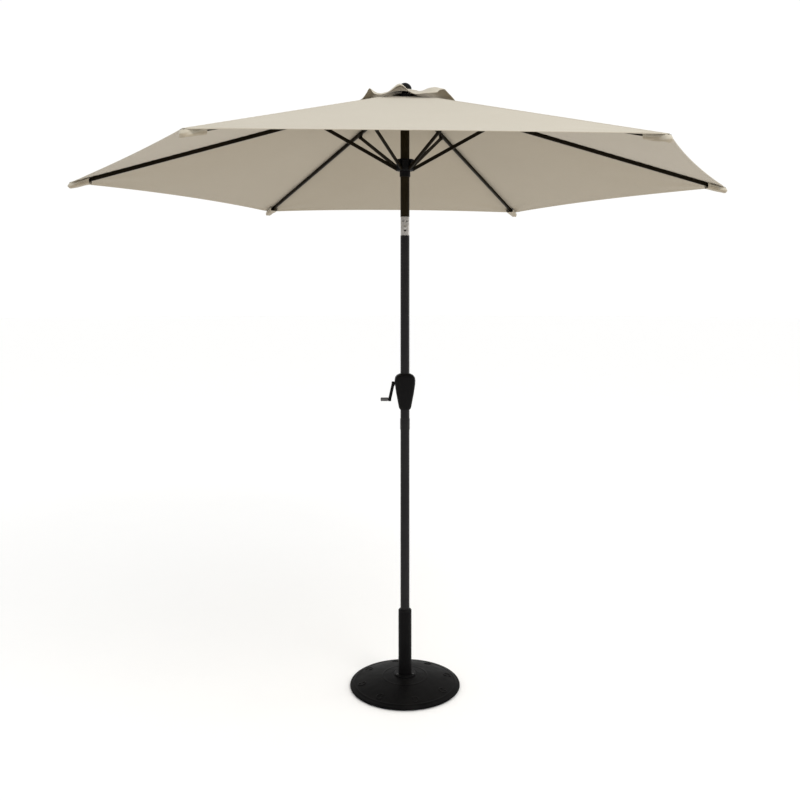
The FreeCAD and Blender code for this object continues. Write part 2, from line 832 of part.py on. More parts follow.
def rib_tip_cap():
    gap = running_gap * 2
    half_w = rib_width / 2 + rib_cap_wall + gap
    half_d = rib_depth / 2 + rib_cap_wall + gap
    start = rib_length() - rib_cap_length + rib_cap_past_tip
    high_z = rib_depth / 2 + rib_cap_top
    cap = box_between(Vector(start, -half_w, -half_d), Vector(start + rib_cap_length, half_w, high_z))
    rounding = [edge for edge in cap.Edges if edge.BoundBox.XMin > start + rib_cap_length - 1
                and edge.BoundBox.ZMax < high_z - 1]
    cap = cap.makeFillet(rib_cap_round, rounding)
    socket_low = Vector(start - 5, -rib_width / 2 - gap, -rib_depth / 2 - gap)
    socket = box_between(socket_low, Vector(rib_length() + gap, rib_width / 2 + gap, rib_depth / 2 + gap))
    return rib_place(cap.cut(socket))


def strut_bracket():
    inner = rib_width / 2 + running_gap
    outer = inner + bracket_wall
    middle = strut_pin_along
    half = bracket_length / 2
    nose_radius = strut_end_radius - 1
    rib_under = -rib_depth / 2
    lap = rib_under - bracket_lap
    cheeks = []
    for side in (-1, 1):
        start = inner if side > 0 else -outer
        end = start + bracket_wall
        plate = box_between(Vector(middle - half, start, lap), Vector(middle + half, end, rib_depth / 4))
        neck_low = Vector(middle - nose_radius, start, -strut_pin_below)
        neck = box_between(neck_low, Vector(middle + nose_radius, end, lap))
        nose = rod(nose_radius, Vector(middle, start, -strut_pin_below), y_axis, bracket_wall)
        cheeks.append(joined([plate, neck, nose]))
    web_low = Vector(middle - half, -outer, rib_under - bracket_web)
    web = box_between(web_low, Vector(middle + half, outer, rib_under - running_gap))
    hole_start = Vector(middle, -2 * outer, -strut_pin_below)
    hole = rod(strut_pin_radius + running_gap / 2, hole_start, y_axis, 4 * outer)
    return rib_place(joined(cheeks + [web]).cut(hole))


def strut_pin():
    half = rib_width / 2 + bracket_wall + 1.2
    start = Vector(strut_pin_along, -half, -strut_pin_below)
    return rib_place(rod(strut_pin_radius, start, y_axis, 2 * half))


def rib_fittings():
    return [rib_tip_cap(), strut_bracket(), strut_pin()]


def strut_top():
    slope = math.radians(rib_slope)
    along = strut_pin_along
    below = strut_pin_below
    x = hub_pivot_radius + along * math.cos(slope) - below * math.sin(slope)
    z = hub_pivot_height - along * math.sin(slope) - below * math.cos(slope)
    return Vector(x, 0, z)


def strut():
    top = strut_top()
    foot = Vector(foot_pin_radius, 0, foot_pin_height)
    length = top.sub(foot).Length
    angle = math.degrees(math.atan2(top.z - foot.z, top.x - foot.x))
    half_w = strut_width / 2
    half_d = strut_depth / 2
    bar = box_between(Vector(0, -half_w, -half_d), Vector(length, half_w, half_d))
    bar = bar.makeFillet(strut_edge_round, [edge for edge in bar.Edges if edge.BoundBox.XLength > 100])
    top_eye = rod(half_d, Vector(length, -half_w, 0), y_axis, strut_width)
    heel = rod(strut_end_radius, Vector(0, -half_w, 0), y_axis, strut_width)
    hole = rod(strut_pin_radius + running_gap, Vector(length, -strut_width, 0), y_axis, 2 * strut_width)
    foot_hole = rod(strut_pin_radius, Vector(0, -strut_width, 0), y_axis, 2 * strut_width)
    solid = joined([bar, top_eye, heel]).cut([hole, foot_hole])
    solid.rotate(origin, y_axis, -angle)
    solid.translate(foot)
    return solid


def strut_foot_pin():
    half = strut_width / 2
    start = Vector(foot_pin_radius, -half, foot_pin_height)
    return rod(strut_pin_radius - running_gap, start, y_axis, strut_width)


def runner_slots():
    half_slot = strut_width / 2 + side_gap
    low = Vector(runner_core_radius, -half_slot, runner_collar_bottom - 2 * runner_neck_length)
    return around(box_between(low, Vector(2 * runner_flange_radius, half_slot, runner_top + 5)), rib_count)


def runner_collar():
    neck_bottom = runner_collar_bottom - runner_neck_length
    edge = 4.0
    points = [
        Vector(runner_bore, 0, neck_bottom),
        Vector(runner_neck_radius, 0, neck_bottom),
        Vector(runner_neck_radius, 0, runner_collar_bottom),
        Vector(runner_collar_radius - edge, 0, runner_collar_bottom),
        Vector(runner_collar_radius, 0, runner_collar_bottom + edge),
        Vector(runner_collar_radius, 0, runner_flange_bottom - runner_ring_lap),
        Vector(runner_bore, 0, runner_flange_bottom - runner_ring_lap),
    ]
    return turned(points).cut(runner_slots())


def runner_ring():
    low = runner_flange_bottom - runner_ring_lap + running_gap
    ring = pipe(runner_flange_radius, runner_bore, low, runner_top)
    outer = [edge for edge in ring.Edges
             if edge.BoundBox.XMax > runner_flange_radius - 0.1 and edge.BoundBox.ZMin > runner_top - 0.1]
    return ring.makeFillet(2.0, outer).cut(runner_slots())


# Canopy: flat half panels that meet over a rib ---------------------------

def ridge_height(radius):
    slope = math.radians(rib_slope)
    lift = (rib_depth / 2 + canopy_gap) / math.cos(slope)
    return hub_pivot_height + lift - (radius - hub_pivot_radius) * math.tan(slope)


def half_panel(inner, outer, height_at, side):
    middle = Vector(math.cos(half_step), side * math.sin(half_step), 0)
    inner_flat = inner * math.cos(half_step)
    outer_flat = outer * math.cos(half_step)
    edge_shift = Vector(math.sin(half_step), -side * math.cos(half_step), 0).multiply(seam_gap / 2)
    corners = [
        Vector(inner, 0, height_at(inner)),
        Vector(outer, 0, height_at(outer)),
        Vector(middle).multiply(outer_flat).add(edge_shift).add(Vector(0, 0, height_at(outer))),
        Vector(middle).multiply(inner_flat).add(edge_shift).add(Vector(0, 0, height_at(inner))),
    ]
    first = outline_face(corners[:3])
    second = outline_face([corners[0], corners[2], corners[3]])
    lift = Vector(0, 0, canopy_thickness)
    return joined([first.extrude(lift), second.extrude(lift)])


def canopy_gore():
    halves = [half_panel(vent_hole_radius, canopy_reach, ridge_height, side) for side in (-1, 1)]
    return joined(halves)


def vent_cap():
    first = Vector(vent_reach, 0, vent_hem_height)
    second = Vector(vent_reach * math.cos(2 * half_step), vent_reach * math.sin(2 * half_step), vent_hem_height)
    face = outline_face([Vector(0, 0, vent_apex), first, second])
    wedges = around(face.extrude(Vector(0, 0, canopy_thickness)), rib_count)
    hole = upright(stud_radius + 1, vent_hem_height, vent_apex + 10)
    return joined(wedges).cut(hole)


def turned_to(shape, index):
    copy = shape.copy()
    copy.rotate(origin, z_axis, index * rib_step)
    return copy


def build_nodes():
    nodes = {
        "base_weight": base_weight(),
        "base_feet": base_feet(),
        "base_stem": stem(),
        "stem_flange": stem_flange(),
        "flange_screws": flange_screws(),
        "stem_cap": stem_cap(),
        "stem_reducer": stem_reducer(),
        "clamp_boss": clamp_boss(),
        "clamp_screw": clamp_screw(),
        "clamp_knob": clamp_knob(),
        "pole_plug": pole_plug(),
        "lower_pole": lower_pole(),
        "pole_joiner": pole_joiner(),
        "mid_pole": mid_pole(),
        "crank_housing_front": housing_shell("front"),
        "crank_housing_rear": housing_shell("rear"),
        "housing_screws": housing_screws(),
        "crank_shaft": crank_shaft(),
        "cord_drum": cord_drum(),
        "brake_spring": brake_spring(),
        "crank_arm": crank_arm(),
        "crank_grip": crank_grip(),
        "grip_screw": grip_screw(),
        "tilt_lower_knuckle": tilt_lower_knuckle(),
        "tilt_upper_knuckle": tilt_upper_knuckle(),
        "tilt_pin": tilt_pin(),
        "tilt_button": tilt_button(),
        "tilt_pawl": tilt_pawl(),
        "pawl_spring": pawl_spring(),
        "top_pole": top_pole(),
        "top_hub": top_hub(),
        "mast_pins": Part.makeCompound(hub_pins() + [pulley_pin()]),
        "cord_pulley": cord_pulley(),
        "finial": finial(),
        "runner": Part.makeCompound([runner_collar(), runner_ring()]),
        "vent_cap": vent_cap(),
    }
    beam = rib_beam()
    fittings = rib_fittings()
    gore = canopy_gore()
    arm = strut()
    foot_pin = strut_foot_pin()
    for index in range(rib_count):
        number = str(index + 1)
        nodes["rib_" + number] = turned_to(beam, index)
        nodes["rib_fittings_" + number] = Part.makeCompound([turned_to(piece, index) for piece in fittings])
        nodes["canopy_gore_" + number] = turned_to(gore, index)
        nodes["strut_" + number] = Part.makeCompound([turned_to(arm, index), turned_to(foot_pin, index)])
    return nodes


def main():
    os.makedirs("parts", exist_ok=True)
    for name, shape in build_nodes().items():
        shape.exportStep("parts/" + name + ".step")
        print(name, len(shape.Solids), "solids", round(shape.Volume), "mm3", "valid", shape.isValid())


main()
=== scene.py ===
import json
import math
import bpy
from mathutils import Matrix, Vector, noise


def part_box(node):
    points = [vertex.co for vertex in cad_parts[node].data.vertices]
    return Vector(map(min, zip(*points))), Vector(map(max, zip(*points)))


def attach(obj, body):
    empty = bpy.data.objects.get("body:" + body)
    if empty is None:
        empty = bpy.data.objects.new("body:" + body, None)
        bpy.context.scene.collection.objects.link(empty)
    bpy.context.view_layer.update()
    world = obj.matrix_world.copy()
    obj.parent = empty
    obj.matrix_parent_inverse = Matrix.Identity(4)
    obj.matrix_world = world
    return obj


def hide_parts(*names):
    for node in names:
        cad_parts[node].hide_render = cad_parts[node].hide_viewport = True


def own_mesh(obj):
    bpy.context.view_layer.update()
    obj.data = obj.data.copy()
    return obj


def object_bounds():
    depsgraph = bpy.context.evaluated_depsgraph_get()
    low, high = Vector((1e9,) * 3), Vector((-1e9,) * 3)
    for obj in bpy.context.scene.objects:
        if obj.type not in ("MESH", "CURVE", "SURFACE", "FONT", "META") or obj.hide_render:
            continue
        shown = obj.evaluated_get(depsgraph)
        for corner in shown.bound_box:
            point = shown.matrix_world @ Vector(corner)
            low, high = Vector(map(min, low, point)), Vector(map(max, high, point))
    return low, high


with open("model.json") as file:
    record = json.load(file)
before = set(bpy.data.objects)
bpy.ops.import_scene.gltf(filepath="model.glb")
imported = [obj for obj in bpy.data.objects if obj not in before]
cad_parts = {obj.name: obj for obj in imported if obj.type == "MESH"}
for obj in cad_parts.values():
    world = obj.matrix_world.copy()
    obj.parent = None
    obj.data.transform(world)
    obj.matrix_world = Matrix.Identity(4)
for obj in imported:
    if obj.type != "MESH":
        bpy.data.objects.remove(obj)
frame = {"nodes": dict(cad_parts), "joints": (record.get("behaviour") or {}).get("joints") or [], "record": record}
cadLow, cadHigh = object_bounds()
jointFacts = {joint["name"]: joint for joint in frame["joints"]}
print("stage: frame loaded")


# Small helpers

def smoothStep(value, low, high):
    share = min(1.0, max(0.0, (value - low) / (high - low)))
    return share * share * (3 - 2 * share)


def bump(value, middle, width):
    return math.exp(-((value - middle) / width) ** 2)


def angleGap(first, second):
    return (first - second + math.pi) % (2 * math.pi) - math.pi


def deselectAll():
    bpy.ops.object.select_all(action="DESELECT")


def pickOnly(piece):
    deselectAll()
    piece.select_set(True)
    bpy.context.view_layer.objects.active = piece


def smoothPiece(piece, angle):
    pickOnly(piece)
    bpy.ops.object.shade_smooth_by_angle(angle=math.radians(angle))


def faceOutward(piece):
    pickOnly(piece)
    bpy.ops.object.mode_set(mode="EDIT")
    bpy.ops.mesh.select_all(action="SELECT")
    bpy.ops.mesh.normals_make_consistent(inside=False)
    bpy.ops.object.mode_set(mode="OBJECT")


def applyModifiers(piece):
    pickOnly(piece)
    for modifier in list(piece.modifiers):
        bpy.ops.object.modifier_apply(modifier=modifier.name)


def settle(piece):
    pickOnly(piece)
    bpy.ops.object.transform_apply(location=True, rotation=True, scale=True)


def paint(piece, material):
    piece.data.materials.clear()
    piece.data.materials.append(material)


# Camera, floor and lights

view = {
    "lens": 38.63,
    "sensor": 36.0,
    "place": (-0.2133, -3.5897, 1.640),
    "shiftRight": -0.0062,
    "shiftUp": -0.1333,
}

studio = {
    "worldColour": (1.0, 0.998, 0.992, 1),
    "worldPower": 1.02,
    "floorRadius": 60.0,
    "floorColour": (0.985, 0.985, 0.982, 1),
    "floorPatch": 0.985,  # how much of that colour its darker patches keep
    "floorRough": 0.65,
    "floorDrop": 0.0005,
    "softBoxes": [
        # name, place, aimed at, size, watts, tint
        ("keySoftBox", (2.6, -3.8, 5.4), (0, 0, 1.9), 2.6, 130, (1.0, 0.985, 0.96)),
        ("sideSoftBox", (4.6, 1.2, 1.5), (0, 0, 1.7), 1.8, 30, (1.0, 0.99, 0.97)),
    ],
}


def makeCamera():
    data = bpy.data.cameras.new("photoView")
    data.lens = view["lens"]
    data.sensor_width = view["sensor"]
    data.shift_x = view["shiftRight"]
    data.shift_y = view["shiftUp"]
    data.clip_end = 200
    camera = bpy.data.objects.new("photoView", data)
    bpy.context.scene.collection.objects.link(camera)
    place = Vector(view["place"])
    camera.location = place
    level = Vector((-place.x, -place.y, 0))
    camera.rotation_euler = level.to_track_quat("-Z", "Y").to_euler()
    bpy.context.scene.camera = camera


def makeWorld():
    world = bpy.data.worlds.new("paleStudio")
    bpy.context.scene.world = world
    world.use_nodes = True
    background = world.node_tree.nodes["Background"]
    background.inputs["Color"].default_value = studio["worldColour"]
    background.inputs["Strength"].default_value = studio["worldPower"]


def makeLights():
    for name, place, target, size, watts, tint in studio["softBoxes"]:
        data = bpy.data.lights.new(name, "AREA")
        data.shape = "DISK"
        data.size = size
        data.energy = watts
        data.color = tint
        lamp = bpy.data.objects.new(name, data)
        bpy.context.scene.collection.objects.link(lamp)
        lamp.location = place
        lamp.rotation_euler = (Vector(target) - Vector(place)).to_track_quat("-Z", "Y").to_euler()


def makeFloor(material):
    deselectAll()
    bpy.ops.mesh.primitive_circle_add(vertices=96, radius=studio["floorRadius"], fill_type="NGON")
    floor = bpy.context.object
    floor.name = "studioFloor"
    floor.location.z = cadLow.z - studio["floorDrop"]
    paint(floor, material)


makeCamera()
makeWorld()
makeLights()
bpy.context.scene.view_settings.view_transform = "Standard"
print("stage: camera and studio ready")


# Shader groups that several finishes share

def newGroup(name, inputs, outputs):
    group = bpy.data.node_groups.new(name, "ShaderNodeTree")
    for kind, label, value in inputs:
        socket = group.interface.new_socket(label, in_out="INPUT", socket_type="NodeSocket" + kind)
        if value is not None:
            socket.default_value = value
    for kind, label in outputs:
        group.interface.new_socket(label, in_out="OUTPUT", socket_type="NodeSocket" + kind)
    entry = group.nodes.new("NodeGroupInput")
    leave = group.nodes.new("NodeGroupOutput")
    return group, entry, leave


def addNode(tree, kind, wires=None, **settings):
    node = tree.nodes.new("ShaderNode" + kind)
    for key, value in settings.items():
        setattr(node, key, value)
    for key, value in (wires or {}).items():
        if hasattr(value, "is_linked"):
            tree.links.new(value, node.inputs[key])
        else:
            node.inputs[key].default_value = value
    return node


def mathNode(tree, operation, first, second=0.0, third=0.0):
    return addNode(tree, "Math", {0: first, 1: second, 2: third}, operation=operation).outputs[0]


def remap(tree, value, fromLow, fromHigh, toLow=0.0, toHigh=1.0, clamp=True):
    wires = {"Value": value, "From Min": fromLow, "From Max": fromHigh, "To Min": toLow, "To Max": toHigh}
    return addNode(tree, "MapRange", wires, clamp=clamp).outputs["Result"]


def blendColour(tree, share, first, second):
    node = addNode(tree, "Mix", data_type="RGBA")
    for index, value in ((0, share), (6, first), (7, second)):
        if hasattr(value, "is_linked"):
            tree.links.new(value, node.inputs[index])
        else:
            node.inputs[index].default_value = value
    return node.outputs[2]


def makeMottleGroup():
    # slow and quick patches of a second tone over a first
    inputs = [
        ("Vector", "Place", None), ("Color", "Main Tone", (0.5, 0.5, 0.5, 1)),
        ("Color", "Second Tone", (0.4, 0.4, 0.4, 1)), ("Float", "Scale", 8.0), ("Float", "Amount", 0.5),
    ]
    group, entry, leave = newGroup("mottle", inputs, [("Color", "Tone"), ("Float", "Patches")])
    source = entry.outputs
    slow = addNode(group, "TexNoise", {"Vector": source["Place"], "Scale": source["Scale"], "Detail": 5.0})
    quickScale = mathNode(group, "MULTIPLY", source["Scale"], 7.3)
    quick = addNode(group, "TexNoise", {"Vector": source["Place"], "Scale": quickScale, "Detail": 3.0})
    slowPart = mathNode(group, "MULTIPLY", slow.outputs["Fac"], 0.65)
    both = mathNode(group, "MULTIPLY_ADD", quick.outputs["Fac"], 0.35, slowPart)
    patches = remap(group, both, 0.36, 0.64)
    share = mathNode(group, "MULTIPLY", patches, source["Amount"])
    tone = blendColour(group, share, source["Main Tone"], source["Second Tone"])
    group.links.new(tone, leave.inputs["Tone"])
    group.links.new(patches, leave.inputs["Patches"])
    return group


def makeEdgeRubGroup():
    # bright where a rounded normal differs from the face's own, broken up by noise
    inputs = [("Vector", "Place", None), ("Float", "Width", 0.002), ("Float", "Break Up", 60.0)]
    group, entry, leave = newGroup("edgeRub", inputs, [("Float", "Rub")])
    rounded = addNode(group, "Bevel", {"Radius": entry.outputs["Width"]}, samples=4)
    geometry = addNode(group, "NewGeometry")
    normals = {0: rounded.outputs[0], 1: geometry.outputs["Normal"]}
    turn = addNode(group, "VectorMath", normals, operation="DOT_PRODUCT")
    edge = remap(group, turn.outputs["Value"], 0.995, 0.90)
    source = entry.outputs
    grainWires = {"Vector": source["Place"], "Scale": source["Break Up"], "Detail": 4.0}
    grain = addNode(group, "TexNoise", grainWires)
    rub = mathNode(group, "MULTIPLY", edge, remap(group, grain.outputs["Fac"], 0.42, 0.62))
    group.links.new(rub, leave.inputs["Rub"])
    return group


def makeDustGroup():
    # settles on what faces up
    inputs = [("Vector", "Place", None), ("Float", "Scale", 14.0), ("Float", "Amount", 0.3)]
    group, entry, leave = newGroup("dust", inputs, [("Float", "Dust")])
    geometry = addNode(group, "NewGeometry")
    split = addNode(group, "SeparateXYZ", {0: geometry.outputs["Normal"]})
    upward = remap(group, split.outputs["Z"], 0.35, 0.95)
    source = entry.outputs
    cloud = addNode(group, "TexNoise", {"Vector": source["Place"], "Scale": source["Scale"], "Detail": 6.0})
    broken = remap(group, cloud.outputs["Fac"], 0.38, 0.7)
    dust = mathNode(group, "MULTIPLY", mathNode(group, "MULTIPLY", upward, broken), source["Amount"])
    group.links.new(dust, leave.inputs["Dust"])
    return group


def makeGrainGroup():
    # the pebble of powder coat or of a spark-eroded mould, as a height
    inputs = [("Vector", "Place", None), ("Float", "Pebble Scale", 900.0), ("Float", "Wave Scale", 60.0)]
    group, entry, leave = newGroup("grain", inputs, [("Float", "Height")])
    place = entry.outputs["Place"]
    pebbleWires = {"Vector": place, "Scale": entry.outputs["Pebble Scale"]}
    pebble = addNode(group, "TexVoronoi", pebbleWires, feature="SMOOTH_F1")
    wave = addNode(group, "TexNoise", {"Vector": place, "Scale": entry.outputs["Wave Scale"], "Detail": 4.0})
    wavePart = mathNode(group, "MULTIPLY", wave.outputs["Fac"], 0.4)
    height = mathNode(group, "MULTIPLY_ADD", pebble.outputs["Distance"], 0.6, wavePart)
    group.links.new(height, leave.inputs["Height"])
    return group


def makeDrawLinesGroup():
    # fine lines left by drawing or machining, stretched along one direction
    inputs = [("Vector", "Place", None), ("Vector", "Stretch", (400.0, 400.0, 6.0))]
    group, entry, leave = newGroup("drawLines", inputs, [("Float", "Lines")])
    factors = {0: entry.outputs["Place"], 1: entry.outputs["Stretch"]}
    scaled = addNode(group, "VectorMath", factors, operation="MULTIPLY")
    lines = addNode(group, "TexNoise", {"Vector": scaled.outputs[0], "Scale": 1.0, "Detail": 3.0})
    group.links.new(lines.outputs["Fac"], leave.inputs["Lines"])
    return group


def makeWeaveGroup():
    # plain weave: warp over weft, thread by thread, with slubs
    inputs = [("Vector", "Cloth Place", None), ("Float", "Threads", 900.0), ("Float", "Slub", 0.35)]
    outputs = [("Float", "Height"), ("Float", "GapShade"), ("Float", "Slubs")]
    group, entry, leave = newGroup("weave", inputs, outputs)
    place = addNode(group, "SeparateXYZ", {0: entry.outputs["Cloth Place"]})
    threads = mathNode(group, "MULTIPLY", entry.outputs["Threads"], math.pi)
    across = mathNode(group, "MULTIPLY", place.outputs["X"], threads)
    along = mathNode(group, "MULTIPLY", place.outputs["Y"], threads)
    warp = mathNode(group, "ABSOLUTE", mathNode(group, "SINE", across))
    weft = mathNode(group, "ABSOLUTE", mathNode(group, "SINE", along))
    over = mathNode(group, "MULTIPLY", mathNode(group, "COSINE", across), mathNode(group, "COSINE", along))
    onTop = remap(group, over, -0.4, 0.4)
    warpPart = mathNode(group, "MULTIPLY", warp, onTop)
    weftPart = mathNode(group, "MULTIPLY", weft, mathNode(group, "SUBTRACT", 1.0, onTop))
    woven = mathNode(group, "ADD", warpPart, weftPart)
    factors = {0: entry.outputs["Cloth Place"], 1: (520.0, 18.0, 1.0)}
    stretched = addNode(group, "VectorMath", factors, operation="MULTIPLY")
    slubs = addNode(group, "TexNoise", {"Vector": stretched.outputs[0], "Scale": 1.0, "Detail": 2.0})
    slubPart = mathNode(group, "MULTIPLY", slubs.outputs["Fac"], entry.outputs["Slub"])
    height = mathNode(group, "ADD", woven, slubPart)
    group.links.new(height, leave.inputs["Height"])
    # the low parts between threads, as a mask for painted shade
    group.links.new(remap(group, woven, 0.25, 0.7, 1.0, 0.0), leave.inputs["GapShade"])
    group.links.new(slubs.outputs["Fac"], leave.inputs["Slubs"])
    return group


def makeStitchGroup():
    # a row of stitches at a distance from an edge, as a mask
    inputs = [
        ("Float", "Edge Distance", 0.0), ("Float", "Along", 0.0),
        ("Float", "Row At", 0.013), ("Float", "Stitch", 0.0034),
    ]
    group, entry, leave = newGroup("stitchRow", inputs, [("Float", "Thread")])
    source = entry.outputs
    away = mathNode(group, "ABSOLUTE", mathNode(group, "SUBTRACT", source["Edge Distance"], source["Row At"]))
    line = remap(group, away, 0.0004, 0.0009, 1.0, 0.0)
    turn = mathNode(group, "FRACT", mathNode(group, "DIVIDE", source["Along"], source["Stitch"]))
    fromMiddle = mathNode(group, "ABSOLUTE", mathNode(group, "SUBTRACT", turn, 0.5))
    dash = remap(group, fromMiddle, 0.30, 0.42, 1.0, 0.0)
    group.links.new(mathNode(group, "MULTIPLY", line, dash), leave.inputs["Thread"])
    return group


groups = {
    "mottle": makeMottleGroup(),
    "edgeRub": makeEdgeRubGroup(),
    "dust": makeDustGroup(),
    "grain": makeGrainGroup(),
    "drawLines": makeDrawLinesGroup(),
    "weave": makeWeaveGroup(),
    "stitchRow": makeStitchGroup(),
}
print("stage: shader groups made")


def useGroup(tree, name, wires):
    node = tree.nodes.new("ShaderNodeGroup")
    node.node_tree = groups[name]
    for key, value in wires.items():
        if hasattr(value, "is_linked"):
            tree.links.new(value, node.inputs[key])
        else:
            node.inputs[key].default_value = value
    return node.outputs


def newMaterial(name):
    material = bpy.data.materials.new(name)
    material.use_nodes = True
    tree = material.node_tree
    return material, tree, tree.nodes["Principled BSDF"]


def bumpInto(tree, shader, height, strength, distance):
    node = addNode(tree, "Bump", {"Height": height, "Strength": strength, "Distance": distance})
    tree.links.new(node.outputs["Normal"], shader.inputs["Normal"])


# Finishes

coatFinishes = {
    # tones, roughness from and to, worn edges, grain scales, grain height in metres, dust, gloss
    "cast_base": {
        "main": (0.003, 0.0029, 0.003), "second": (0.0062, 0.006, 0.006), "rough": (0.36, 0.5),
        "rub": (0.03, 0.03, 0.03), "rubWidth": 0.004, "pebble": 420, "wave": 55,
        "deep": 0.00045, "dust": 0.008, "shine": 0.02,
    },
    "black_steel": {
        "main": (0.003, 0.0028, 0.0029), "second": (0.0055, 0.0052, 0.0054), "rough": (0.32, 0.45),
        "rub": (0.05, 0.05, 0.05), "rubWidth": 0.0015, "pebble": 1100, "wave": 120,
        "deep": 0.00012, "dust": 0.012, "shine": 0.045,
    },
    "dark_pole": {
        "main": (0.0078, 0.0072, 0.0076), "second": (0.013, 0.0122, 0.0122), "rough": (0.3, 0.42),
        "rub": (0.08, 0.075, 0.07), "rubWidth": 0.0012, "pebble": 1300, "wave": 140,
        "deep": 0.0001, "dust": 0.01, "shine": 0.13,
    },
    # dark charcoal-brown paint, partly tinted brown as painted warm bounce light from the beige canopy
    "bronze_pole": {
        "main": (0.0092, 0.0064, 0.0018), "second": (0.015, 0.0108, 0.0042), "rough": (0.3, 0.43),
        "rub": (0.1, 0.075, 0.045), "rubWidth": 0.0012, "pebble": 1300, "wave": 140,
        "deep": 0.0001, "dust": 0.01, "shine": 0.06,
    },
    # dark charcoal-brown paint, partly tinted brown as painted warm bounce light from the beige canopy
    "bronze_rib": {
        "main": (0.0058, 0.004, 0.0016), "second": (0.012, 0.0086, 0.0042), "rough": (0.33, 0.48),
        "rub": (0.08, 0.06, 0.04), "rubWidth": 0.001, "pebble": 1500, "wave": 160,
        "deep": 0.00008, "dust": 0.015, "shine": 0.06,
    },
    "housing_plastic": {
        "main": (0.004, 0.0036, 0.0038), "second": (0.0062, 0.0058, 0.006), "rough": (0.38, 0.52),
        "rub": (0.035, 0.035, 0.036), "rubWidth": 0.0012, "pebble": 2200, "wave": 300,
        "deep": 0.00006, "dust": 0.015, "shine": 0.06,
    },
    "black_plastic": {
        "main": (0.0036, 0.0034, 0.0036), "second": (0.006, 0.0058, 0.006), "rough": (0.4, 0.55),
        "rub": (0.03, 0.03, 0.03), "rubWidth": 0.001, "pebble": 2200, "wave": 300,
        "deep": 0.00006, "dust": 0.015, "shine": 0.06,
    },
    "rib_fittings": {
        "main": (0.0085, 0.0066, 0.0044), "second": (0.014, 0.011, 0.008), "rough": (0.4, 0.55),
        "rub": (0.05, 0.042, 0.034), "rubWidth": 0.0008, "pebble": 2200, "wave": 300,
        "deep": 0.00006, "dust": 0.015, "shine": 0.07,
    },
    "rubber_pads": {
        "main": (0.011, 0.011, 0.011), "second": (0.02, 0.02, 0.02), "rough": (0.75, 0.92),
        "rub": (0.06, 0.06, 0.06), "rubWidth": 0.0012, "pebble": 900, "wave": 120,
        "deep": 0.00015, "dust": 0.3, "shine": 0.15,
    },
    "grey_grip": {
        "main": (0.1, 0.098, 0.098), "second": (0.072, 0.071, 0.071), "rough": (0.36, 0.5),
        "rub": (0.2, 0.2, 0.198), "rubWidth": 0.001, "pebble": 1800, "wave": 220,
        "deep": 0.00008, "dust": 0.02, "shine": 0.2,
    },
    "pulley_plastic": {
        "main": (0.62, 0.6, 0.55), "second": (0.5, 0.48, 0.43), "rough": (0.35, 0.5),
        "rub": (0.7, 0.7, 0.68), "rubWidth": 0.0008, "pebble": 1800, "wave": 220,
        "deep": 0.00005, "dust": 0.1, "shine": 0.4,
    },
}

coatShared = {
    "mottleScale": 9.0,
    "mottleAmount": 0.8,
    "breakUp": 110.0,
    "rubShare": 0.55,
    "dustScale": 16.0,
    "dustColour": (0.24, 0.225, 0.20, 1),
    "dustRough": 0.8,
    "bump": 0.55,
}

metalFinishes = {
    # tones, roughness from and to, worn edges, how the drawn lines are stretched and how deep they are
    "silver_knuckle": {
        "main": (0.43, 0.415, 0.395), "second": (0.27, 0.262, 0.25), "rough": (0.3, 0.5),
        "rub": (0.78, 0.77, 0.75), "rubWidth": 0.0012, "lines": (900, 900, 35), "deep": 0.00008,
    },
    "zinc_screws": {
        "main": (0.055, 0.054, 0.052), "second": (0.03, 0.03, 0.029), "rough": (0.34, 0.5),
        "rub": (0.14, 0.14, 0.135), "rubWidth": 0.0006, "lines": (1500, 1500, 60), "deep": 0.00004,
    },
    "spring_steel": {
        "main": (0.45, 0.45, 0.46), "second": (0.3, 0.3, 0.31), "rough": (0.22, 0.36),
        "rub": (0.7, 0.7, 0.7), "rubWidth": 0.0004, "lines": (60, 1800, 1800), "deep": 0.00003,
    },
}

metalShared = {
    "mottleScale": 45.0,
    "mottleAmount": 0.6,
    "breakUp": 160.0,
    "streak": 0.35,
    "bump": 0.4,
}


def opaque(colour):
    return (*colour, 1)


def coatMaterial(name, facts):
    material, tree, shader = newMaterial(name)
    place = addNode(tree, "TexCoord").outputs["Object"]
    shared = coatShared
    tones = useGroup(tree, "mottle", {
        "Place": place, "Main Tone": opaque(facts["main"]), "Second Tone": opaque(facts["second"]),
        "Scale": shared["mottleScale"], "Amount": shared["mottleAmount"]})
    rub = useGroup(tree, "edgeRub", {
        "Place": place, "Width": facts["rubWidth"], "Break Up": shared["breakUp"]})["Rub"]
    dust = useGroup(tree, "dust", {
        "Place": place, "Scale": shared["dustScale"], "Amount": facts["dust"]})["Dust"]
    rubShare = mathNode(tree, "MULTIPLY", rub, shared["rubShare"])
    worn = blendColour(tree, rubShare, tones["Tone"], opaque(facts["rub"]))
    dusty = blendColour(tree, dust, worn, shared["dustColour"])
    tree.links.new(dusty, shader.inputs["Base Color"])
    low, high = facts["rough"]
    rough = remap(tree, tones["Patches"], 0.0, 1.0, low, high)
    dustedRough = mathNode(tree, "MULTIPLY_ADD", dust, shared["dustRough"], rough)
    tree.links.new(dustedRough, shader.inputs["Roughness"])
    shader.inputs["Specular IOR Level"].default_value = facts["shine"]
    height = useGroup(tree, "grain", {
        "Place": place, "Pebble Scale": float(facts["pebble"]), "Wave Scale": float(facts["wave"])})["Height"]
    bumpInto(tree, shader, height, shared["bump"], facts["deep"])
    return material


